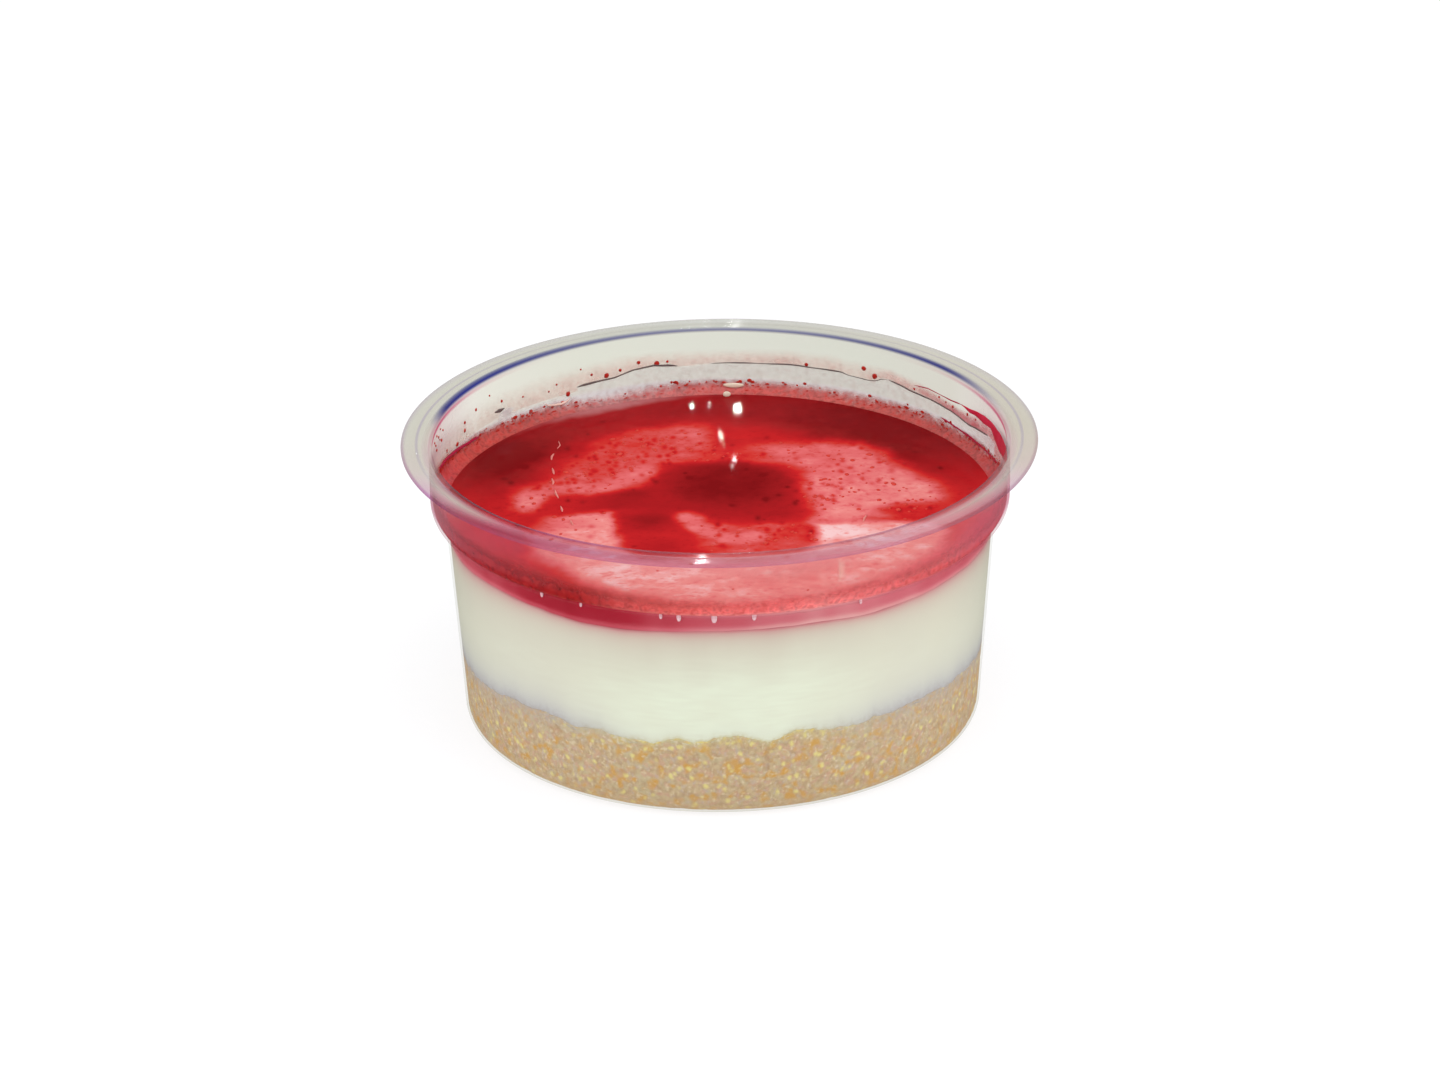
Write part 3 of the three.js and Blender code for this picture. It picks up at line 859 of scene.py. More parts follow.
def sauce_tone(x, y):
    """How deep the sauce looks from above at each point, from 0 to 1."""
    flat = stack(x, y, 0.0)

    def ruffle(size, seed):
        return rough(flat, size, seed) - 0.5

    ragged_x = 1.8 * ruffle(4.0, 1) + 0.6 * ruffle(1.0, 6)
    ragged_y = 1.8 * ruffle(4.0, 2) + 0.4 * ruffle(1.0, 7)
    pulp = 0.35 * ruffle(1.3, 12)
    x = x + ragged_x
    y = y + ragged_y

    def paint(tone, outline, value, soft):
        return lerp(tone, value, smoothstep(-outline_distance(x, y, outline), -soft / 2, soft / 2))

    angle = front_angle(x, y)
    start = round_table(angle, RING_START)
    ring = smoothstep(np.hypot(x, y), start - 5.0, start + 4.5)
    tone = lerp(BETWEEN_TONE, round_table(angle, RING_TONE), ring)
    tone = tone + spots(x, y, BETWEEN_SPOTS) + 0.25 * pulp
    tone = paint(tone, RIGHT_RIDGE, 0.17 + spots(x, y, RIGHT_SPOTS) + 0.5 * pulp, 5.4)
    left = 0.41 + spots(x, y, LEFT_SPOTS) + 0.6 * pulp
    left = lerp(left, 0.24, smoothstep(-line_distance(x, y, LIGHT_BLOB), -4.6, -0.4))
    tone = paint(tone, LEFT_RIDGE, left, 4.0)
    tone = paint(tone, LINK, lerp(0.52, 0.36, smoothstep(x, 2.0, 9.0)) + 0.5 * pulp, 4.0)
    hem = lerp(3.0, 8.0, smoothstep(-y, 14.0, 25.0))
    tone = paint(tone, FRONT_RIDGE, 0.12 + spots(x, y, FRONT_SPOTS) + 0.3 * pulp, hem)
    crossing = line_distance(x, y, CROSSING) + 14.0 * pulp
    tone = lerp(tone, 0.52, 0.85 * smoothstep(-crossing, -4.4, 0.6) * smoothstep(x, 21.0, 31.0))
    tone = paint(tone, LEFT_ARM, lerp(0.66, 0.86, smoothstep(x, -25.0, -12.0)), 2.8)
    tone = paint(tone, FRONT_ARM, 0.64 + spots(x, y, ARM_SPOTS), 2.2)
    tone = paint(tone, FRONT_LOBE, 0.42 + spots(x, y, LOBE_SPOTS) + 0.9 * pulp, 3.0)
    pool = lerp(0.97, 0.80, smoothstep(np.hypot(x - 1.5, y - 6), 3.5, 12.0)) + 0.2 * pulp
    pool = lerp(pool, 0.66, smoothstep(-y, 5.0, 9.5))
    pool = lerp(pool, 0.70, smoothstep(x, 9.0, 13.0))
    tone = paint(tone, POOL, pool, 3.4)
    crescent = line_distance(x, y, CRESCENT)
    tone = lerp(tone, 0.25 + 0.3 * pulp, 1.0 - smoothstep(crescent, 0.6, 3.0))
    tone = tone + spots(x, y, [(0.16, *place, 0.6) for place in DARK_SPOTS])
    return np.clip(tone, 0.0, 1.0)


# The tones from which the sauce gets deeper and at which it is deepest
SHALLOW_TONE = 0.1
DEEP_TONE = 0.85
# The dull pink film at the sauce's edge: middle and width in degrees, and the radius that it is near
THIN_EDGE = (205.0, 17.0)
THIN_RADIUS = 40.7


def seed_tone(x, y):
    """Soft dark seeds that show through the thin sauce."""
    rng = np.random.RandomState(17)
    total = np.zeros(x.shape)
    for middle_x, middle_y, reach, number in SEED_CLUSTERS:
        for _ in range(number):
            seed_x, seed_y = rng.normal((middle_x, middle_y), reach)
            wide = rng.uniform(0.22, 0.5)
            tall = wide * rng.uniform(1.2, 2.2)
            away = ((x - seed_x) / wide) ** 2 + ((y - seed_y) / tall) ** 2
            total = np.maximum(total, rng.uniform(0.12, 0.34) * np.exp(-np.minimum(away, 40.0)))
    return total


def thin_edge(x, y):
    """Where the sauce thins out to a dull pink film, along its edge at the back left."""
    around = near(front_angle(x, y) % 360.0, *THIN_EDGE)
    start = THIN_RADIUS + 0.8 * (noise(stack(x, y, 0.0), 2.0, 15) - 0.5)
    return around * smoothstep(np.hypot(x, y), start - 2.4 * around, start + 1.2 - 1.2 * around)


def sauce_depth(x, y):
    """Depth of the sauce over the cheesecake's swirled top."""
    return SAUCE_FILM + (SAUCE_DEPTH - SAUCE_FILM) * smoothstep(sauce_tone(x, y), SHALLOW_TONE, DEEP_TONE)


# Heights of the layers' edges against the wall, by angle from the front
SAUCE_FOOT = [
    (-62, 30.5), (-54, 30.8), (-41, 30.6), (-30, 30.2), (-20, 30.3), (-9, 30.8), (4, 31.1), (20, 31.1),
    (30, 30.7), (48, 30.8), (57, 31), (90, 30.7), (140, 30.9), (180, 30.6), (220, 30.8), (260, 30.5),
]
CRUMB_TOP = [
    (-66, 11.8), (-58, 12.2), (-50, 13), (-44, 12.9), (-38, 13.3), (-33, 12.3), (-28, 12.8),
    (-23, 12.5), (-19, 12.1), (-15, 11.8), (-10, 13), (-6, 12.4), (-2, 13), (2, 13.5), (6.5, 12.9),
    (11, 12.3), (15, 13.6), (19, 13.5), (24, 13), (29, 12.7), (34, 13.4), (39, 12.9), (45, 13.1),
    (52, 12.9), (64, 12.5), (75, 12), (95, 11.7), (120, 12.9), (145, 12.2), (165, 13.2), (190, 12.6),
    (215, 13), (240, 12.3), (265, 11.7), (280, 11.3),
]
# How deep the sauce looks through the wall, by angle from the front
SIDE_TONE = [
    (-90, 0.55), (-75, 0.58), (-60, 0.68), (-45, 0.8), (-30, 0.9), (-20, 0.78), (-10, 0.62), (0, 0.46),
    (10, 0.42), (20, 0.26), (30, 0.3), (45, 0.42), (60, 0.54), (75, 0.48), (90, 0.5), (120, 0.7),
    (150, 0.75), (180, 0.7), (210, 0.75), (240, 0.7),
]
# How finely the solids are divided
SAUCE_SEGMENTS = 540
SAUCE_RINGS = 130
SIDE_SEGMENTS = 720
SWIRL_RINGS = 40
SIDE_ROWS = 36
CRUMB_ROWS = 34
CRUMB_RINGS = 30
SAUCE_ROWS = 8
EDGE_RADIUS = 39.0  # where the noise of the layers' edges is taken
# The cheesecake's upper and lower edge lie about at these heights, and its underside at the last
EDGE_Z = 31.0
LOW_EDGE_Z = 12.0
UNDERSIDE_Z = 12.5
# The sauce creeps up the wall by this much, over this width
SAUCE_LIP = 0.12
LIP_WIDTH = 1.4
# Share of the way to the wall from which the layers' surfaces bend to meet their edges
BEND_FROM = 0.93
BRIM = (8.0, 26.0)  # middle and width of the paler brim in front, in degrees


def sauce_foot(angle, outward, radius=EDGE_RADIUS):
    """Height of the sauce's uneven lower edge against the wall."""
    uneven = noise(round_points(radius, outward, 0.0), 2.5, 8) - 0.5
    return round_table(angle, SAUCE_FOOT) + 0.25 * uneven


def crumb_top(angle, outward):
    """Height of the crumb's bumpy edge against the wall."""
    around = round_points(EDGE_RADIUS, outward, 0.0)
    bumps = 0.7 * (noise(around, 1.7, 21) - 0.5) + 0.4 * (noise(around, 0.8, 22) - 0.5)
    return round_table(angle, CRUMB_TOP) + bumps


def swirl(share, reach, foot, gap=0.0):
    """Points between sauce and cheesecake, at shares of a reach, that end at the sauce's foot."""
    x, y = polar(share * reach, len(foot))
    z = SAUCE_TOP - sauce_depth(x, y) - gap
    return stack(x, y, lerp(z, foot, smoothstep(share, BEND_FROM, 1.0)[:, None]))


def make_sauce():
    outward, angle = compass(SAUCE_SEGMENTS)
    edge = SHOULDER_INSIDE + GRIP + SAUCE_TOP - WALL_TOP
    radii = np.linspace(0.0, edge, SAUCE_RINGS)
    x, y = polar(radii, SAUCE_SEGMENTS)
    tone = np.clip(sauce_tone(x, y) + seed_tone(x, y), 0.0, 1.0)
    top = stack(x, y, SAUCE_TOP + SAUCE_LIP * smoothstep(radii, edge - LIP_WIDTH, edge)[:, None])
    foot = sauce_foot(angle, outward, edge)
    under = swirl(np.linspace(0.0, 1.0, SWIRL_RINGS), gripped(EDGE_Z), foot)
    share = np.append(0.015, np.linspace(0.0, 1.0, SAUCE_ROWS)[1:])[:, None]
    side_z = lerp(foot, WALL_TOP, share)
    side = round_points(gripped(side_z), outward, side_z)
    streaks = 0.12 * (noise(round_points(edge, outward, 0.0), 2.6, 61) - 0.5)
    brim = 0.19 * near(angle, *BRIM) * smoothstep(share, 0.75, 1.0)
    paler = 0.30 * (1.0 - smoothstep(share, 0.0, 0.4))
    side_tone = np.clip(round_table(angle, SIDE_TONE) + streaks - brim - paler, 0.0, 1.0)
    fields = {
        "tone": (side_tone[0], side_tone, tone),
        "side": (1.0, 1.0, 0.0),
        "thin": (0.0, 0.0, thin_edge(x, y)),
    }
    add_layer("strawberry_sauce", (under, side, top), fields, sauce_material(),
              "strawberry_topping")


def make_cheesecake():
    outward, angle = compass(SIDE_SEGMENTS)
    crumb = crumb_top(angle, outward)
    foot = sauce_foot(angle, outward) - EDGE_GAP
    side_z = lerp(crumb - OVERLAP, foot, np.linspace(0.0, 1.0, SIDE_ROWS)[:, None])
    side = round_points(gripped(side_z) - EDGE_GAP, outward, side_z)
    share = np.linspace(0.0, 1.0, SWIRL_RINGS)[:-1]
    base_x, base_y = polar(share * (gripped(LOW_EDGE_Z) - 0.2), SIDE_SEGMENTS)
    base_z = lerp(UNDERSIDE_Z, crumb - OVERLAP, smoothstep(share, 0.5, 1.0)[:, None])
    top = swirl(share, gripped(EDGE_Z) - 0.1, foot, LAYER_GAP)
    above = side_z - crumb
    below = foot - side_z
    # aside sets the painted shade at the sides, and shadow is painted shade near the crumb.
    aside = smoothstep(np.abs(angle), 10.0, 42.0)
    reach = lerp(0.8, 1.3, smoothstep(np.abs(angle), 25.0, 60.0))
    pink = 0.85 * fade(below, reach) + (0.12 - 0.06 * aside) * fade(below, 3.5)
    fields = {
        "height": (0.0, np.clip(above / 18.0, 0.0, 1.0), 1.0),
        "pink": (0.0, pink, 1.0),
        "shadow": (1.0, (0.22 + 0.68 * aside) * fade(above, 1.1 + 1.3 * aside), 0.0),
        "blend": (1.0, 0.85 * fade(above, lerp(0.35, 0.9, aside)), 0.0),
        "aside": (0.0, aside, 0.0),
    }
    parts = (stack(base_x, base_y, base_z), side, top)
    add_layer("cheesecake_layer", parts, fields, cheesecake_material(), "cheesecake")


def make_crumb():
    outward, angle = compass(SIDE_SEGMENTS)
    crumb = crumb_top(angle, outward)
    curve = HEEL_CURVE - WALL + GRIP
    heel = np.array(arc(FOOT_RADIUS - HEEL_CURVE, HEEL_CURVE, curve, curve, -90, 0, 9))[:, :, None]
    heel_r, heel_z = np.repeat(heel, SIDE_SEGMENTS, axis=2).swapaxes(0, 1)
    wall_z = lerp(HEEL_CURVE, crumb, np.linspace(0.0, 1.0, CRUMB_ROWS)[1:, None])
    side_r = np.concatenate([heel_r, gripped(wall_z)])
    side_z = np.concatenate([heel_z, wall_z])
    smooth_side = round_points(side_r, outward, side_z)
    grains = smoothstep(rough(smooth_side, 1.4, 31), 0.5, 0.75)
    holes = smoothstep(rough(smooth_side, 1.5, 35, 2), 0.66, 0.82)
    covered = smoothstep(crumb - side_z, 0.3, 1.3)
    side = round_points(side_r - (0.08 * grains + 0.12 * holes) * covered, outward, side_z)
    share = np.linspace(0.0, 1.0, CRUMB_RINGS)[:-1]
    top_x, top_y = polar(share * gripped(UNDERSIDE_Z), SIDE_SEGMENTS)
    lumps = rough(stack(top_x, top_y, 0.0), 3.0, 41) - 0.5
    top_z = CRUMB_LEVEL + 0.9 * lumps * smoothstep(share, 0.0, 0.15)[:, None]
    top_z = lerp(top_z, crumb, smoothstep(share, 0.94, 1.0)[:, None])
    floor = WALL + LAYER_GAP
    raised = floor + RECESS_DEPTH
    low = [(0.0, raised), (RECESS_RADIUS, raised), (RECESS_RADIUS + RECESS_SLOPE, floor)]
    aside = smoothstep(np.abs(angle), 12.0, 45.0)
    fields = {
        # Painted shade in the pits, as deep as the holes
        "pit": (0.0, 0.35 * holes * covered, 0.0),
        # The top edge reaches further at the sides, where it carries painted shade.
        "crest": (0.0, 0.85 * fade(crumb - side_z, lerp(0.75, 2.1, aside)), 1.0),
        "foot": (0.0, 0.5 * (1.0 - smoothstep(side_z, 0.4, 3.4)), 0.0),
        "aside": (0.0, aside, 0.0),
    }
    parts = (spin(low, SIDE_SEGMENTS), side, stack(top_x, top_y, top_z))
    add_layer("crumb_base", parts, fields, crumb_material(), "biscuit_base")


# Small pieces

def blob(rings=5, count=8):
    """Points and faces of a unit ball."""
    outline = [(math.sin(t), -math.cos(t)) for t in np.linspace(0.0, math.pi, rings)]
    return closed_solid(spin(outline, count))[:2]


def scatter(placements, shape):
    """Joins copies of a shape, each under its own four-by-four matrix, with uneven forms."""
    base, base_faces = shape
    copies = []
    for index, matrix in enumerate(placements):
        wobble = 1.0 + 0.35 * (noise(base * 0.9 + 3.7 * index, 1.0, 51)[:, None] - 0.5)
        points = (base * wobble) @ np.array(matrix.to_3x3()).T + np.array(matrix.translation)
        copies.append((points, base_faces))
    return join(copies)


def join(parts):
    """One list of points and one of faces from several."""
    points = []
    faces = []
    start = 0
    for some_points, some_faces in parts:
        points.append(some_points)
        faces += [tuple(corner + start for corner in face) for face in some_faces]
        start += len(some_points)
    return np.vstack(points), faces


def placed(centre, axes, turn=0.0):
    """A matrix at a point whose axes are scaled, turned about the vertical."""
    return Matrix.Translation(centre) @ Matrix.Rotation(turn, 4, "Z") @ Matrix.Diagonal((*axes, 1.0))


def round_place(front_degrees, radius, z):
    """Points at degrees from the front, at a radius and a height."""
    turn = np.radians(front_degrees)
    return stack(radius * np.sin(turn), -radius * np.cos(turn), z)


def on_face(angle, z, inset, width, height, depth):
    """A matrix on the inside of the upright band, as wide, high and deep as given, or further in."""
    centre = round_place(angle, BAND_INSIDE - inset, z)
    return placed(centre, (width / 2, depth / 2, height / 2), math.radians(angle))


def inner_face(count):
    """Points of the cup's inside from the sauce up over the shoulder, and normals into the cup."""
    start = np.array([[SHOULDER_RADIUS - 0.2, SAUCE_TOP - 0.2]])
    turn = np.radians(np.linspace(-78.0, 0.0, count))[:, None]
    out = np.hstack([np.cos(turn), np.sin(turn)])
    curve = np.array([[SHOULDER_RADIUS, SHOULDER_Z]]) + (SHOULDER_CURVE - WALL) * out
    wall = np.array([[BAND_INSIDE, z] for z in np.linspace(SHOULDER_Z, FILM_END, count)[1:]])
    diagonal = np.array([[-0.707, 0.707]])
    normals = np.vstack([diagonal, -out, np.tile([[-1.0, 0.0]], (len(wall), 1))])
    return np.vstack([start, curve, wall]), normals


# Displayed colours of the film over the shoulder and height of its upper edge, by angle from the front
FILM_COLOURS = [
    (-160, (196, 104, 102)), (-152, (194, 104, 102)), (-148, (188, 86, 82)), (-140, (184, 58, 52)),
    (-127, (184, 48, 40)), (-112, (196, 46, 38)), (-98, (192, 36, 42)), (-80, (196, 84, 96)),
    (-60, (168, 38, 48)), (-45, (150, 16, 20)), (-30, (158, 22, 24)), (-20, (204, 80, 78)),
    (-10, (222, 96, 92)), (0, (240, 112, 108)), (10, (244, 114, 112)), (20, (246, 132, 128)),
    (30, (238, 116, 116)), (45, (216, 90, 92)), (60, (208, 84, 92)), (80, (196, 66, 80)),
    (98, (186, 44, 48)), (108, (184, 62, 58)), (127, (180, 56, 50)), (149, (190, 64, 56)),
    (160, (200, 72, 66)), (172, (200, 66, 60)),
]
FILM_TOP = [
    (-90, 37.4), (-60, 37.2), (-45, 37), (-30, 36.5), (-15, 36.1), (0, 35.9), (15, 35.8), (30, 35.9),
    (45, 36.2), (60, 36.8), (90, 36.6), (105, 35.6), (120, 35.15), (127, 35.1), (144, 35), (154, 34.95),
    (163, 35), (171, 35), (180, 35.2), (188, 35.05), (192, 34.85), (197, 34.6), (201, 34.4),
    (206, 34.35), (210, 34.5), (215, 35), (220, 35.05), (228, 35), (236, 35.6), (247, 35.9),
    (258, 36.6),
]
FILM_SEGMENTS = 900
FILM_END = 38.2


def film_thickness(z):
    """Thickness of the film over the shoulder at a height, less higher up."""
    return lerp(0.30, 0.06, smoothstep(z, 34.0, 36.0))


def make_shoulder_film():
    """The sauce's film on the inside of the shoulder, frayed along its upper edge."""
    outward, angle = compass(FILM_SEGMENTS)
    face, normals = inner_face(13)
    thick = film_thickness(face[:, 1])[:, None]
    loop = np.vstack([face - 0.12 * normals, (face + thick * normals)[::-1]])
    rings = round_points(loop[:, :1], outward, loop[:, 1:])
    level = rings[..., 2]
    patchy = rough(rings, 1.8, 71)
    streak = rough(rings * np.array([1.0, 1.0, 0.5]), 1.3, 75, 2)
    fray = lerp(1.15, 1.3, smoothstep(-np.abs(angle), -70.0, -20.0))
    top = round_table(angle, FILM_TOP) + 0.5 * (patchy - 0.5)
    cover = (1.0 - smoothstep(level, top - fray, top + fray)) * lerp(0.94, 1.06, patchy)
    cover = np.minimum(cover, 0.98)
    colour = round_colours(angle, FILM_COLOURS) * lerp(0.94, 1.06, streak)[..., None]
    brim = near(angle, *BRIM) * (1.0 - smoothstep(level, 34.2, 34.9))
    colour = np.clip(colour + brim[..., None] * np.array([0.0, 30.0, 30.0]), 0.0, 255.0)
    behind = smoothstep(np.abs(angle), 80.0, 96.0)
    pale = 0.25 * behind * (1.0 - smoothstep(level, 35.4, 35.9))
    share = pale / np.maximum(cover + pale, 1e-6)
    colour = lerp(colour, 0.96 * PALE_FILM, share[..., None])
    cover = np.clip(cover + pale * (1.0 - cover), 0.0, 1.0)
    add_film("shoulder_film", rings, cover, colour, 0.3)


# The dark, wavy upper limit of the wetted wall, by (degrees from the back, height), in its runs
FILM_LINES = [
    [
        (-31, 37.4), (-25.6, 37.6), (-22.2, 37.7), (-18.4, 38.4), (-16.6, 38.55), (-13.4, 38.9),
        (-10.6, 38.75), (-7.8, 38.25),
    ],
    [
        (-1.5, 38.6), (6.7, 38.7), (10.9, 38.7), (15.7, 38.8), (21.8, 38.65), (26.8, 38.7), (28.2, 38.4),
        (33, 38.2), (34.9, 38.35), (36.2, 38.9), (38, 39.2),
    ],
    [
        (38, 39.2), (41.1, 38.8), (43.8, 38.5), (46.6, 38.4), (49.6, 38.25), (53.7, 38), (57.8, 37.7),
        (60.8, 37.5), (64, 37.4), (68.1, 37.7), (72.8, 38.2),
    ],
]
FILM_LINE_WIDTHS = [0.15, 0.09, 0.12]

# Displayed colours of the faint film on the clear zone, of the pink one above the wavy line and
# how it changes to the left and to the right, and of the pale streak on the band in front
PALE_FILM = np.array([218.0, 210.0, 214.0])
PINK_FILM = np.array([238.0, 200.0, 188.0])
LEFT_CHANGE = np.array([-12.0, 6.0, 4.0])
RIGHT_CHANGE = np.array([-20.0, -66.0, -48.0])
STREAK_COLOUR = np.array([240.0, 206.0, 186.0])
PALE_STREAK = (23.6, 39.8)

# Residue on the upright band: degrees from the front, height, reach sideways and up, cover, colour
RESIDUE = [
    (-42, 36.3, 18, 1.6, 0.75, (206, 48, 50)), (-56, 38.4, 14, 2.4, 0.3, (206, 84, 96)),
    (-20, 36.2, 14, 1.2, 0.35, (220, 104, 100)), (54, 36.6, 18, 1.6, 0.55, (222, 88, 98)),
    (64, 38.6, 12, 2.6, 0.3, (214, 104, 120)), (80, 36.8, 10, 2.2, 0.45, (206, 60, 90)),
    (30, 36.3, 12, 1, 0.3, (226, 108, 108)), (16, 40.8, 12, 1.6, 0.2, (216, 84, 84)),
    (-46, 41.2, 12, 2, 0.3, (206, 80, 100)), (-78, 36.6, 9, 1.6, 0.5, (190, 84, 110)),
]
WALL_FILM_SEGMENTS = 540
WALL_FILM_ROWS = 46
WALL_FILM_HEIGHTS = (35.5, 43.2)
# Height of the wavy line where its table ends, beyond the sides and at the left, and of the pink
# film's upper limit behind and at the sides
LINE_BEYOND = 36.0
LINE_LEFT = 36.6
UPPER_BEHIND = 41.4
UPPER_ASIDE = 40.6


def make_wall_film():
    """The faint pink film on the upright band above the wavy line, and redder residue in front."""
    outward, angle = compass(WALL_FILM_SEGMENTS)
    back = 180.0 - angle % 360.0
    heights = np.linspace(*WALL_FILM_HEIGHTS, WALL_FILM_ROWS)
    radii = np.repeat([BAND_INSIDE + 0.05, BAND_INSIDE - 0.05], WALL_FILM_ROWS)[:, None]
    rings = round_points(radii, outward, np.concatenate([heights, heights[::-1]])[:, None])
    level = rings[..., 2]
    patchy = rough(rings, 3.0, 81)
    line = np.interp(back, *zip(*(pair for run in FILM_LINES for pair in run)))
    line = np.where(np.abs(back) > 76.0, LINE_BEYOND, np.where(back < -31.0, LINE_LEFT, line))
    above = smoothstep(level, line - 0.15, line + 0.15)
    upper = lerp(UPPER_BEHIND, UPPER_ASIDE, smoothstep(np.abs(back), 60.0, 120.0)) + 1.2 * (patchy - 0.5)
    upper = lerp(upper, line + 1.6, near(back, 56.0, 14.0))
    left = near(back, -62.0, 26.0)
    right = near(back, 63.0, 18.0)
    behind = 1.0 - smoothstep(np.abs(back), 88.0, 104.0)
    cover = above * (1.0 - smoothstep(level, line + 0.3, upper)) * (0.28 + 0.04 * left + 0.45 * right)
    cover = cover * behind * lerp(0.5, 1.5, patchy)
    colour = PINK_FILM + LEFT_CHANGE * left[:, None] + RIGHT_CHANGE * right[:, None]
    below = (1.0 - above) * behind * smoothstep(level, 35.4, 35.9)
    pale = 0.20 * below + 0.55 * near(back, -50.0, 3.0) * near(level, 37.1, 0.8)
    colour = np.where((pale > cover)[..., None], PALE_FILM, colour)
    cover = np.maximum(cover, pale)
    for middle, height, reach, rise, share, residue in RESIDUE:
        amount = share * near(angle, middle, reach) * near(level, height, rise) * lerp(0.75, 1.25, patchy)
        total = amount + cover * (1.0 - amount)
        part = amount / np.maximum(total, 1e-6)
        colour = lerp(colour, np.array(residue, float), part[..., None])
        cover = total
    streak = 0.45 * near(angle, PALE_STREAK[0], 0.45) * near(level, PALE_STREAK[1], 1.7)
    colour = np.where((streak > 0.1)[..., None], STREAK_COLOUR, colour)
    cover = np.clip(np.maximum(cover, streak), 0.0, 1.0)
    add_film("wall_film", rings, cover, colour, 0.15)


def wall_place(back, z, inset):
    """Points on the inside of the upright band or further in, by degrees from the back and height."""
    return round_place(180.0 - back, BAND_INSIDE - inset, z)


def tube_faces(stations, sides):
    """Faces of a tube of rings whose two ends are shut."""
    faces = ring_quads(stations, sides)
    faces.append(tuple(range(sides))[::-1])
    faces.append(tuple(range((stations - 1) * sides, stations * sides)))
    return faces


def tube(line, radii, sides=6):
    """Points and faces of a closed tube along a line of points, as thick as the radii say."""
    line = np.asarray(line, float)
    ahead = np.gradient(line, axis=0)
    ahead /= np.linalg.norm(ahead, axis=1)[:, None]
    first = np.cross(ahead, np.array([0.0, 0.0, 1.0]) + 1e-3)
    first /= np.linalg.norm(first, axis=1)[:, None]
    second = np.cross(ahead, first)
    turn = np.linspace(0.0, 2.0 * np.pi, sides, endpoint=False)
    spread = first[:, None] * np.cos(turn)[None, :, None] + second[:, None] * np.sin(turn)[None, :, None]
    rings = line[:, None] + spread * np.asarray(radii, float)[:, None, None]
    return rings.reshape(-1, 3), tube_faces(len(line), sides)


def wall_run(run, width, seed, step=0.8, inset=0.05):
    """A tube on the wall along (degrees from the back, height) pairs, uneven in width."""
    backs = np.arange(run[0][0], run[-1][0], step)
    places = stack(backs, 0.0, 0.0)
    heights = np.interp(backs, *zip(*run)) + 0.22 * (noise(places, 3.0, seed) - 0.5)
    ends = np.minimum(1.0, np.minimum(backs - backs[0], backs[-1] - backs) / 2.0 + 0.25)
    radii = width * ends * (0.5 + noise(places, 4.0, seed + 1))
    return tube(wall_place(backs, heights, inset), radii)


# A small dark curl of the film's edge at the left, crimson edges of the film, and the pale curl, a
# painted highlight
DARK_CURL = [(-53.6, 37.9), (-50.4, 38.05)]
CRIMSON_RUNS = [
    ([(-81, 36.7), (-74, 36.4), (-68, 35.9), (-64, 35.7), (-59, 35.6)], 0.22, 101),
    ([(53, 36.0), (60, 35.6), (66, 35.4), (72, 35.3), (79, 35.6)], 0.16, 103),
    ([(45, 39.6), (49, 39.9), (52, 39.75), (56, 39.6), (61, 39.95)], 0.10, 105),
]
PALE_CURL_HIGHLIGHT = [(-39.4, 36.3), (-38.6, 35.8), (-36.8, 35.5), (-35.2, 35.4), (-33.6, 35.7), (-32.8, 36.2)]


def make_wall_marks():
    runs = [wall_run(run, width, 90 + 2 * index)
            for index, (run, width) in enumerate(zip(FILM_LINES, FILM_LINE_WIDTHS))]
    runs.append(wall_run(DARK_CURL, 0.24, 97, 0.3))
    add_bits("wall_film_edge", join(runs))
    crimson = [wall_run(run, width, seed) for run, width, seed in CRIMSON_RUNS]
    add_bits("shoulder_film_edge", join(crimson))
    add_bits("pale_curl_highlight", wall_run(PALE_CURL_HIGHLIGHT, 0.16, 107, 0.3, inset=0.28))


# Specks of fruit on the band: degrees from the back, height, width
WALL_SPECKS = [
    (-16.9, 39.65, 0.7), (-13, 39.15, 1.1), (-10.7, 39.3, 0.5), (-24.1, 38.3, 1), (-21, 38.8, 0.6),
    (-27.5, 38.9, 0.5), (-33.2, 36.6, 1), (-60.2, 40.2, 0.6), (-64.9, 39.4, 0.6), (-65, 38.1, 0.8),
    (-77.9, 40.4, 0.6), (-42.9, 35.5, 1), (18.8, 39.1, 0.7), (31.9, 40, 1), (34.6, 39.1, 1.1),
    (-55.2, 41.2, 0.4), (-51.3, 39.3, 0.6), (-74.5, 37.6, 0.7), (45, 38.9, 0.5), (-38, 37.9, 0.4),
    (-45, 38.5, 0.4), (-36, 38.7, 0.4), (57, 38.7, 0.6), (-30, 40.2, 0.35), (-76.7, 41.7, 0.4),
    (-78.5, 42.4, 0.35), (-80.2, 41.6, 0.5), (-81.9, 42.3, 0.45), (-83.4, 41.2, 0.5), (-84.6, 42, 0.4),
    (-79.3, 40.9, 0.35), (-82.6, 40.2, 0.5), (52.4, 39.2, 0.5), (54.6, 38.9, 0.4), (62.5, 38.9, 0.6),
    (66, 39, 0.4),
]
LOOSE_SPECKS = 420


def make_wall_specks():
    """The larger specks at their places, and fine loose ones along the film's upper edge."""
    rng = np.random.RandomState(9)
    shapes = [on_face(180.0 - back, z, 0.0, width * 0.9, width * 0.9, 0.22)
              for back, z, width in WALL_SPECKS]
    inner_curve = SHOULDER_CURVE - WALL
    for _ in range(LOOSE_SPECKS):
        back = rng.uniform(-86.0, 86.0)
        z = max(round_table(180.0 - back, FILM_TOP) + rng.normal(-0.35, 0.5), 34.15)
        width = 0.2 + 0.5 * rng.rand() ** 2
        drop = max(0.0, SHOULDER_Z - z)
        inset = film_thickness(z) + inner_curve - math.sqrt(max(inner_curve ** 2 - drop ** 2, 0.0))
        shapes.append(on_face(180.0 - back, z, inset, width * rng.uniform(0.8, 1.8), width, 0.10))
    add_bits("wall_specks", scatter(shapes, blob()))


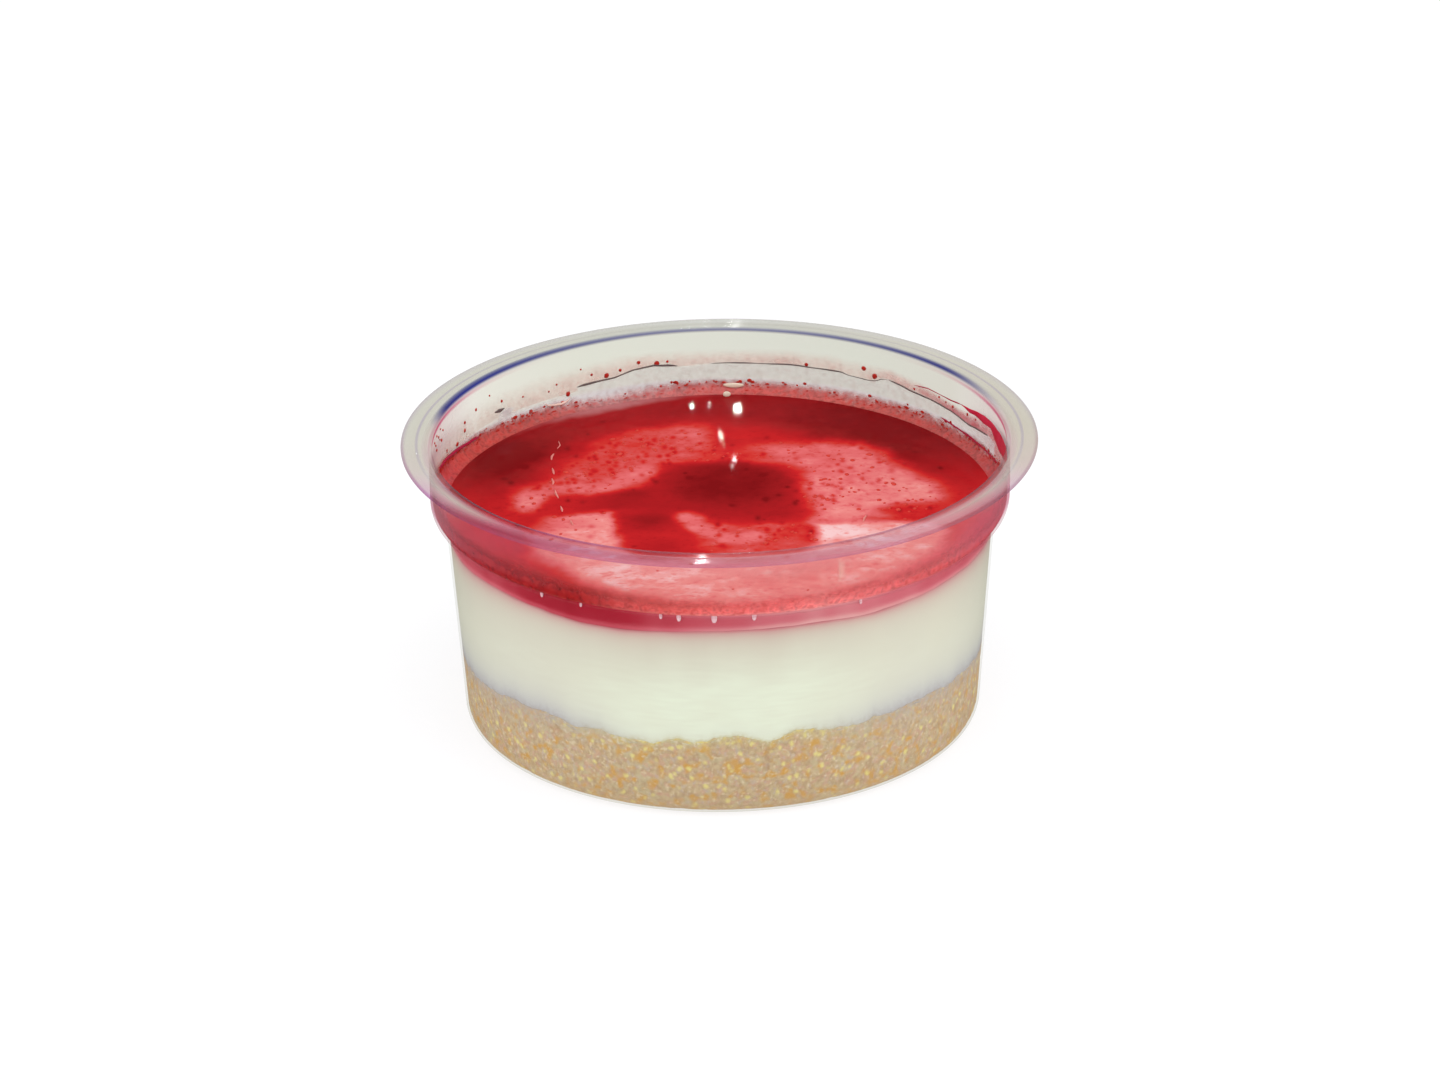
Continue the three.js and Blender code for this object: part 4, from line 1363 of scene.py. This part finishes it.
# The crimson smear at the right: degrees from the back, and the heights of its lower and upper edge
WALL_SMEAR = [
    (60.3, 39.9, 40), (63.4, 39.4, 40.1), (66.5, 39.6, 40.5), (70, 39.4, 40.8), (74, 39.8, 41.1),
    (76.5, 38.7, 41.1), (80, 37.9, 41.1), (86, 38.2, 41.3), (92, 39.2, 41.8), (97, 40.9, 41.6),
]
SMEAR_SIDES = 12


def make_wall_smear():
    known, lows, highs = zip(*WALL_SMEAR)
    backs = np.arange(known[0], known[-1], 0.6)
    places = stack(backs, 0.0, 0.0)
    low = np.interp(backs, known, lows) + 0.35 * (noise(places, 2.0, 111) - 0.5)
    high = np.interp(backs, known, highs) + 0.35 * (noise(places, 2.0, 112) - 0.5)
    half = np.maximum((high - low) / 2, 0.06)[:, None]
    turn = np.linspace(0.0, 2.0 * np.pi, SMEAR_SIDES, endpoint=False)
    z = (low + high)[:, None] / 2 + half * np.sin(turn)
    rings = wall_place(backs[:, None], z, 0.04 + 0.10 * np.cos(turn))
    add_bits("wall_smear", (rings.reshape(-1, 3), tube_faces(len(backs), SMEAR_SIDES)))


# Bubbles along the shoulder, pale partly as painted highlights: degrees from the front and size
SHOULDER_BUBBLES_AND_GLINTS = [(-39.2, 1.0), (-29.5, 0.8), (-12.3, 0.9), (-8.6, 1.2), (-1.5, 1.5), (6.5, 1.1),
                    (29.1, 0.9)]
# Pale beads at the back edge of the sauce, painted highlights that stand for glints there: middle, width
# and height
EDGE_GLINT_BEADS = [(2.3, 42.3, 35.15, 3.2, 0.8), (1.3, 40.6, 34.35, 1.3, 1.0)]


def make_bubbles_and_glints():
    """Pale bubbles caught between the sauce and the wall, partly painted highlights, and pale beads at
    the sauce's back edge that are painted glints.
    """
    shapes = []
    for angle, size in SHOULDER_BUBBLES_AND_GLINTS:
        centre = round_place(angle, SHOULDER_INSIDE + 0.32, WALL_TOP - 0.15)
        shapes.append(placed(centre, (0.28 * size, 0.16, 0.55 * size), math.radians(angle)))
    add_bits("shoulder_bubbles_and_glints", scatter(shapes, blob(7, 12)))
    shapes = [placed((x, y, z), (wide / 2, 0.1, high / 2), -math.atan2(x, y))
              for x, y, z, wide, high in EDGE_GLINT_BEADS]
    add_bits("painted_edge_glints", scatter(shapes, blob(7, 12)))


# Pale dashes on the sauce, a painted reflection, as lines of (x, y) and their half width
REFLECTION_DASHES = [
    ([(-25.5, 18.4), (-25.8, 17.2), (-25.8, 16)], 0.18),
    ([(-25.6, 12.8), (-25.4, 11.4), (-25.3, 10.4)], 0.18),
    ([(-25.6, 8.8), (-25.3, 7.4), (-25.4, 6.4)], 0.18),
    ([(-25, 4.4), (-24.8, 2.8), (-24.4, 1.2)], 0.18),
    ([(-24, -1.8), (-23.8, -3), (-23.7, -3.9)], 0.18),
    ([(-24.9, 23.5), (-24.6, 21.8), (-25, 20.4)], 0.1),
    ([(21.9, -6.8), (21.5, -8), (21.3, -9.2)], 0.18),
    ([(-22.4, -7.2), (-22.2, -8.2), (-22, -9)], 0.18),
]


# Painted reflection: pale dashes along lines on the sauce
def make_reflection_dashes():
    parts = []
    share = np.linspace(0.0, 2.0, 9)
    for dash, width in REFLECTION_DASHES:
        x, y = (np.interp(share, (0, 1, 2), side) for side in zip(*dash))
        parts.append(tube(stack(x, y, SAUCE_TOP + 0.02), width * np.sin(np.linspace(0.35, 2.8, 9))))
    add_bits("painted_reflection_dashes", join(parts))


# Where specks of fruit gather on the sauce: middle, reach, number
SPECK_CLUSTERS = [
    (-13, 19, 5, 46), (-19, 11, 4, 26), (-8, 24, 4, 20), (-28, 2, 2.5, 10), (14.6, -1, 1.8, 20),
    (17, 9, 4, 26), (21, 16, 4, 16), (27, 2, 4, 12), (10, -13, 2.6, 20), (2, -16, 3, 8),
    (27, -5.5, 3.4, 20), (-23, -6, 3, 8), (2, 17, 4, 16), (0, 2, 22, 60),
]
DEEPEST_SPECK_TONE = 0.58
FARTHEST_SPECK = 38.0


def make_specks():
    """Fine seeds and pulp on the sauce, mostly where it is thin."""
    rng = np.random.RandomState(5)
    shapes = []
    for middle_x, middle_y, reach, number in SPECK_CLUSTERS:
        x = rng.normal(middle_x, reach, number)
        y = rng.normal(middle_y, reach, number)
        width = 0.16 + 0.26 * rng.rand(number) ** 2
        tall = width * rng.uniform(1.0, 1.6, number)
        turn = rng.normal(0.0, 0.35, number)
        seen = (sauce_tone(x, y) <= DEEPEST_SPECK_TONE) & (np.hypot(x, y) <= FARTHEST_SPECK)
        for index in np.flatnonzero(seen):
            axes = (width[index], tall[index], 0.35 * width[index])
            shapes.append(placed((x[index], y[index], SAUCE_TOP), axes, turn[index]))
    add_bits("sauce_specks", scatter(shapes, blob()))


# Floor, light and camera

FLOOR_RADIUS = 3000.0
FLOOR_TOP = -0.05
FLOOR_UNDERSIDE = -6.0
FLOOR_COLOURS = ((0.97, 0.97, 0.98, 1.0), (0.98, 0.98, 0.99, 1.0))
FLOOR_GLOW = 1.05
FLOOR_MATT = 0.2  # the share of it that shows shadows


def make_floor():
    shader = material_shader("floor")
    pale = shader.mix(shader.noise(400.0), *FLOOR_COLOURS)
    lit = shader.add("Emission", {"Color": pale, "Strength": FLOOR_GLOW})
    matt = shader.add("BsdfDiffuse", {"Color": pale})
    rings = spin([(0.0, FLOOR_UNDERSIDE), (FLOOR_RADIUS, FLOOR_UNDERSIDE), (FLOOR_RADIUS, FLOOR_TOP),
                  (0.0, FLOOR_TOP)], 96)
    points, faces, _ = closed_solid(rings)
    floor = new_object("floor", points, faces, shader.finish(shader.mix_shaders(FLOOR_MATT, lit, matt)))
    floor.visible_glossy = False


def area_lamp(name, place, target, size, watts, glint=False):
    """A square lamp in millimetres that points at a target and isn't seen itself."""
    lamp = bpy.data.lights.new(name, "AREA")
    lamp.size = size * MM
    lamp.energy = watts
    made = bpy.data.objects.new(name, lamp)
    made.location = Vector(place) * MM
    made.rotation_euler = (Vector(target) - Vector(place)).to_track_quat("-Z", "Y").to_euler()
    made.visible_camera = False
    made.visible_glossy = glint
    made.visible_diffuse = not glint
    bpy.context.scene.collection.objects.link(made)


# Glints of a distant small lamp: where they lie on the part, the lamp's size and its power
GLINTS = [
    ((0.2, 25, SAUCE_TOP), 0.9, 0.00022), ((0.3, 23.4, SAUCE_TOP), 0.9, 0.00022),
    ((0.7, 21.4, SAUCE_TOP), 0.6, 0.00006), ((2.3, 15.3, SAUCE_TOP), 1, 0.00016),
    ((1.9, 12.7, SAUCE_TOP), 0.5, 0.00003), ((2.9, 35.9, SAUCE_TOP), 2, 0.0026),
    ((-1.5, 37.7, SAUCE_TOP), 0.8, 0.0003), ((-4.2, 37, SAUCE_TOP), 0.8, 0.0003),
    ((-2.8, -46.5, CUP_HEIGHT), 2.2, 0.0018), ((1.7, 44, CUP_HEIGHT), 1.4, 0.0002),
]
GLINT_DISTANCE = 600.0


def make_glints():
    """Lamps that the level sauce and flange mirror into the camera at the given places."""
    eye = Vector((0.0, -DISTANCE * math.cos(ELEVATION), CUP_HEIGHT + DISTANCE * math.sin(ELEVATION)))
    for index, (place, size, watts) in enumerate(GLINTS):
        ahead = Vector(place) - eye
        mirrored = Vector((ahead.x, ahead.y, -ahead.z)).normalized()
        lamp_place = Vector(place) + GLINT_DISTANCE * mirrored
        area_lamp(f"glint_{index}", lamp_place, place, size, watts, glint=True)


# The studio: strength of the sky, and of what glossy faces mirror of it, and the lamps with their
# places, sizes and watts
SKY = 0.78
MIRRORED_SKY = 0.03
LAMP_TARGET = (0.0, 0.0, 30.0)
LAMPS = [
    ("key", (250.0, -900.0, 2250.0), 1500.0, 23.0),
    ("left", (-1900.0, -500.0, 500.0), 1000.0, 10.0),
    ("right", (1900.0, -500.0, 500.0), 1000.0, 10.0),
]


def make_light():
    sky = Shader(bpy.data.worlds.new("studio"))
    plain = sky.add("Background", {"Color": WHITE, "Strength": SKY})
    dark = sky.add("Background", {"Color": WHITE, "Strength": MIRRORED_SKY})
    glossy = sky.add("LightPath", output="Is Glossy Ray")
    bpy.context.scene.world = sky.finish(sky.mix_shaders(glossy, plain, dark), "OutputWorld")
    for name, place, size, watts in LAMPS:
        area_lamp(name, place, LAMP_TARGET, size, watts)
    make_glints()


def make_camera():
    forward = Vector((0.0, math.cos(ELEVATION), -math.sin(ELEVATION)))
    upright = Vector((0.0, math.sin(ELEVATION), math.cos(ELEVATION)))
    across = Vector((1.0, 0.0, 0.0))
    right = math.cos(ROLL) * across + math.sin(ROLL) * upright
    up = -math.sin(ROLL) * across + math.cos(ROLL) * upright
    offset_x = (RIM_CENTRE_PX[0] - PHOTO_SIZE[0] / 2) / FOCAL_PX
    offset_y = (PHOTO_SIZE[1] / 2 - RIM_CENTRE_PX[1]) / FOCAL_PX
    place = Vector((0.0, 0.0, CUP_HEIGHT)) - DISTANCE * forward
    ahead = (forward - offset_x * right - offset_y * up).normalized()
    aside = ahead.cross(up).normalized()
    camera_data = bpy.data.cameras.new("camera")
    camera_data.sensor_width = 36.0
    camera_data.lens = FOCAL_PX * camera_data.sensor_width / PHOTO_SIZE[0]
    camera_data.clip_start = 0.01
    camera_data.clip_end = 50.0
    camera = bpy.data.objects.new("camera", camera_data)
    turn = Matrix((aside, aside.cross(ahead), -ahead)).transposed().to_4x4()
    camera.matrix_world = Matrix.Translation(place * MM) @ turn
    bpy.context.scene.collection.objects.link(camera)
    bpy.context.scene.camera = camera


make_cup()
make_sauce()
make_cheesecake()
make_crumb()
make_shoulder_film()
make_wall_film()
make_wall_marks()
make_wall_specks()
make_wall_smear()
make_bubbles_and_glints()
make_reflection_dashes()
make_specks()
make_floor()
make_light()
make_camera()
bpy.context.scene.view_settings.view_transform = "Standard"
bpy.context.scene.cycles.transparent_max_bounces = 24
